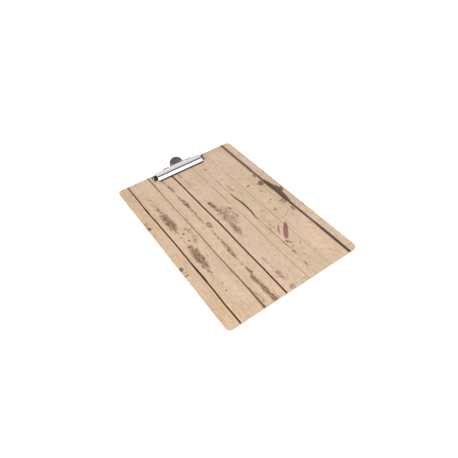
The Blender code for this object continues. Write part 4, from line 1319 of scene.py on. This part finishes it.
def make_rivet(side, node):
    lo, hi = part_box(node)
    cx = side * rivet_x
    head_base = base_hi_z + 0.1
    z_top = hi.z * 1000
    r_head = (hi.x - lo.x) * 500
    dome_h = z_top - head_base - 0.25
    prof = [(0.0, z_top)]
    for a in range(9, 91, 9):
        rad = math.radians(a)
        prof.append((r_head * math.sin(rad), head_base + 0.25 + dome_h * math.cos(rad)))
    prof += [(r_head, head_base + 0.05), (r_head - 0.05, head_base), (1.62, head_base), (1.6, head_base - 0.05), (1.6, 0.95), (1.65, 0.9)]
    tail = 2.7
    prof += [(tail - 0.18, 0.9), (tail - 0.03, 0.8), (tail, 0.6), (tail - 0.06, 0.42), (tail - 0.25, 0.24), (tail - 0.55, 0.14), (tail - 0.85, 0.12),
             (1.5, 0.14), (1.25, 0.22), (1.08, 0.42), (1.0, 0.8), (0.96, 1.4), (0.9, 1.85), (0.6, 2.05), (0.0, 2.1)]

    def crimp(r, z, a):
        if z < 0.95 and r > 1.4:
            k = 0.5 + 0.5 * math.cos(8 * a + (0.4 if side > 0 else 0.1))
            split = k ** 10
            return r * (1 - 0.13 * split), z + 0.07 * split * (1 if z < 0.5 else 0)
        if z > head_base + 0.3:
            return r * (1 + 0.004 * math.sin(3 * a + 0.7)), z
        return r, z

    ob = turned("rivet_" + ("right" if side > 0 else "left") + "_visual", prof, 64, lambda u, v, z: Vector((cx + u, rivet_y + v, z)), crimp)
    return finish_piece(ob, MAT_RIVET, "board", node, angle=40)


def make_washer(side, node):
    cx = side * rivet_x
    r0, r1, z0, z1 = 1.8, 3.6, 1.0, 1.45
    c = 0.12
    prof = []
    for cxr, cz, a0 in ((r1 - c, z1 - c, 90), (r1 - c, z0 + c, 0), (r0 + c, z0 + c, -90), (r0 + c, z1 - c, -180)):
        for k in range(5):
            a = math.radians(a0 - 90 * k / 4)
            prof.append((cxr + c * math.cos(a), cz + c * math.sin(a)))
    ob = turned("washer_" + ("right" if side > 0 else "left") + "_visual", prof, 64, lambda u, v, z: Vector((cx + u, rivet_y + v, z)))
    return finish_piece(ob, MAT_RIVET, "board", node, angle=40)


base_hi_z = base_lo.z * 1000 + STEEL
for side, tag in ((-1, "left"), (1, "right")):
    make_rivet(side, "rivet_" + tag)
    make_washer(side, "washer_" + tag)


# ------------------------------------------------------------------ springs
def tube(name, pts, radius, sides=14):
    """A round wire swept along points in millimetres, with rounded ends."""
    pts = [Vector(p) for p in pts]
    tangents = []
    for i in range(len(pts)):
        a = pts[max(0, i - 1)]
        b = pts[min(len(pts) - 1, i + 1)]
        tangents.append((b - a).normalized())
    normal = tangents[0].orthogonal().normalized()
    rings = []
    bm = bmesh.new()

    def ring(c, t, nn, r):
        b = t.cross(nn).normalized()
        return [bm.verts.new((c + nn * (r * math.cos(2 * math.pi * k / sides)) + b * (r * math.sin(2 * math.pi * k / sides))) * MM) for k in range(sides)]

    prev = tangents[0]
    for i, (p, t) in enumerate(zip(pts, tangents)):
        q = prev.rotation_difference(t)
        normal = (q @ normal).normalized()
        normal = (normal - t * normal.dot(t)).normalized()
        prev = t
        if i == 0:
            for f in (0.35, 0.8):
                rings.append(ring(p - t * (radius * 0.5 * (1 - f)), t, normal, radius * math.sqrt(f)))
        rings.append(ring(p, t, normal, radius))
        if i == len(pts) - 1:
            for f in (0.8, 0.35):
                rings.append(ring(p + t * (radius * 0.5 * (1 - f)), t, normal, radius * math.sqrt(f)))
    for a, b in zip(rings, rings[1:]):
        for k in range(sides):
            j = (k + 1) % sides
            bm.faces.new((a[k], a[j], b[j], b[k]))
    bm.faces.new(rings[0][::-1])
    bm.faces.new(rings[-1])
    bmesh.ops.recalc_face_normals(bm, faces=bm.faces)
    me = bpy.data.meshes.new(name)
    bm.to_mesh(me)
    bm.free()
    return link(bpy.data.objects.new(name, me))


def make_spring(side, node):
    coil, wire, turns = 1.9, 0.45, 8.5
    x0, x1 = 26.5, 16.9
    leg = 4.4
    pts = []
    low_z = base_hi_z + wire + 0.3
    up_z = plate_top - STEEL - wire - 0.15
    # Lower leg in from its tip, meeting the coil's underside along its tangent.
    for i in range(9):
        f = i / 9
        pts.append((x0, pivot_y + leg * (1 - f), low_z + (pivot_z - coil - low_z) * (f * f * (3 - 2 * f))))
    per = 36
    count = int(turns * per)
    for i in range(count + 1):
        t = i / count
        a = math.radians(-90) - 2 * math.pi * turns * t
        ease = t
        pts.append((x0 + (x1 - x0) * ease, pivot_y + coil * math.cos(a), pivot_z + coil * math.sin(a)))
    for i in range(1, 10):
        f = i / 9
        pts.append((x1, pivot_y + leg * f, pivot_z + coil + (up_z - pivot_z - coil) * (f * f * (3 - 2 * f))))
    pts = [(side * x, y, z) for x, y, z in pts]
    ob = tube("spring_" + ("right" if side > 0 else "left") + "_visual", pts, wire)
    ob.data.materials.clear()
    ob.data.materials.append(MAT_SPRING)
    ob.data.shade_smooth()
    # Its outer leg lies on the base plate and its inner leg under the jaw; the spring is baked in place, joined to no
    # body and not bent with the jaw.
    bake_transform(ob)
    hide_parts(node)


make_spring(-1, "spring_left")
make_spring(1, "spring_right")


# ------------------------------------------------------------------ floor, light and camera
def make_floor():
    me = bpy.data.meshes.new("floor")
    bm = bmesh.new()
    bmesh.ops.create_grid(bm, x_segments=2, y_segments=2, size=6.0)
    bm.to_mesh(me)
    bm.free()
    ob = link(bpy.data.objects.new("floor", me))
    ob.location = (0, 0, -0.0002)
    m = bpy.data.materials.new("studio_floor")
    m.use_nodes = True
    t = Tree(m.node_tree)
    bsdf = m.node_tree.nodes["Principled BSDF"]
    tc = t.node("ShaderNodeTexCoord")
    n = t.noise(S(t, tc.outputs["Object"]), scale=3.0, detail=3.0)
    t.put(bsdf.inputs["Base Color"], t.mix(n, (0.92, 0.92, 0.92, 1), (0.96, 0.96, 0.96, 1)))
    bsdf.inputs["Roughness"].default_value = 0.9
    bsdf.inputs["Specular IOR Level"].default_value = 0.0
    path = t.node("ShaderNodeLightPath")
    glow = t.node("ShaderNodeEmission")
    glow.inputs["Color"].default_value = (1, 1, 1, 1)
    t.put(glow.inputs["Strength"], S(t, path.outputs["Is Camera Ray"]) * 0.2 + 0.75)
    add = t.node("ShaderNodeAddShader")
    nt = m.node_tree
    nt.links.new(bsdf.outputs[0], add.inputs[0])
    nt.links.new(glow.outputs[0], add.inputs[1])
    nt.links.new(add.outputs[0], nt.nodes["Material Output"].inputs["Surface"])
    ob.data.materials.append(m)


make_floor()


def make_world():
    w = bpy.data.worlds.new("studio")
    bpy.context.scene.world = w
    w.use_nodes = True
    t = Tree(w.node_tree)
    nt = w.node_tree
    bg = nt.nodes["Background"]
    tc = t.node("ShaderNodeTexCoord")
    d = S(t, tc.outputs["Generated"])
    path = t.node("ShaderNodeLightPath")
    # What the metal mirrors, by the angle over the table from the front (0) past overhead (90) to the back (180):
    # a white screen low in front, a dark studio ceiling, and pale screens behind.
    sep = t.node("ShaderNodeSeparateXYZ")
    t.put(sep.inputs[0], d)
    dy, dz = S(t, sep.outputs[1]), S(t, sep.outputs[2])
    over = t.math("ARCTAN2", dz, dy * -1.0) * (180.0 / math.pi)
    front = t.smooth(over, 29.0, 23.0)
    behind = t.smooth(over, 109.0, 117.0)
    far = t.smooth(over, 133.0, 150.0)
    left = t.smooth(S(t, sep.outputs[0]), -0.20, -0.55)
    rafters = t.noise(d, scale=2.6, detail=3.0, rough=0.6)
    level = front * 1.70 + behind * 0.74 + far * 0.45 + left * 0.7 + t.smooth(rafters, 0.35, 0.65, 0.12, 0.34)
    glossy = S(t, path.outputs["Is Glossy Ray"])
    camera = S(t, path.outputs["Is Camera Ray"])
    ambient = t.smooth(dy, -0.4, 0.6, 0.16, 0.34)
    strength = glossy * level + (1.0 - glossy) * ambient
    strength = camera * 1.0 + (1.0 - camera) * strength
    bg.inputs["Color"].default_value = (1.0, 1.0, 1.0, 1.0)
    t.put(bg.inputs["Strength"], strength)


make_world()


def area_light(name, loc, target, size_x, size_y, power, colour=(1, 1, 1), glossy=True):
    data = bpy.data.lights.new(name, "AREA")
    data.shape = "RECTANGLE"
    data.size, data.size_y = size_x, size_y
    data.energy = power
    data.color = colour
    ob = link(bpy.data.objects.new(name, data))
    ob.location = loc
    ob.rotation_euler = (Vector(target) - Vector(loc)).to_track_quat("-Z", "Y").to_euler()
    ob.visible_glossy = glossy
    ob.visible_camera = False
    return ob


def far_light(name, toward, strength, spread):
    """A distant soft light shining from the given direction, even over the whole table."""
    data = bpy.data.lights.new(name, "SUN")
    data.energy = strength
    data.angle = math.radians(spread)
    ob = link(bpy.data.objects.new(name, data))
    ob.rotation_euler = Vector(toward).to_track_quat("Z", "Y").to_euler()
    ob.visible_glossy = False
    return ob


far_light("key", (-0.50, 3.40, 3.40), 3.70, 20.0)
far_light("fill", (0.60, -3.00, 0.45), 1.00, 25.0)

cam_data = bpy.data.cameras.new("camera")
cam = link(bpy.data.objects.new("camera", cam_data))
az, el, roll = math.radians(-32.631), math.radians(47.146), math.radians(-3.521)
cam_back = Vector((math.sin(az) * math.cos(el), -math.cos(az) * math.cos(el), math.sin(el)))
cam_right = (-cam_back).cross(Vector((0, 0, 1))).normalized()
cam_up = cam_right.cross(-cam_back)
r2 = cam_right * math.cos(roll) + cam_up * math.sin(roll)
u2 = -cam_right * math.sin(roll) + cam_up * math.cos(roll)
cam.matrix_world = Matrix(
    (
        (r2.x, u2.x, cam_back.x, -0.2406),
        (r2.y, u2.y, cam_back.y, -0.3763),
        (r2.z, u2.z, cam_back.z, 0.4572),
        (0, 0, 0, 1),
    )
)
cam_data.lens = 32.56
cam_data.sensor_width = 36.0
cam_data.clip_start = 0.01
bpy.context.scene.camera = cam

view = bpy.context.scene.view_settings
view.view_transform = "Standard"
view.look = "None"
view.exposure = 0.0
view.gamma = 1.0

bpy.context.view_layer.update()
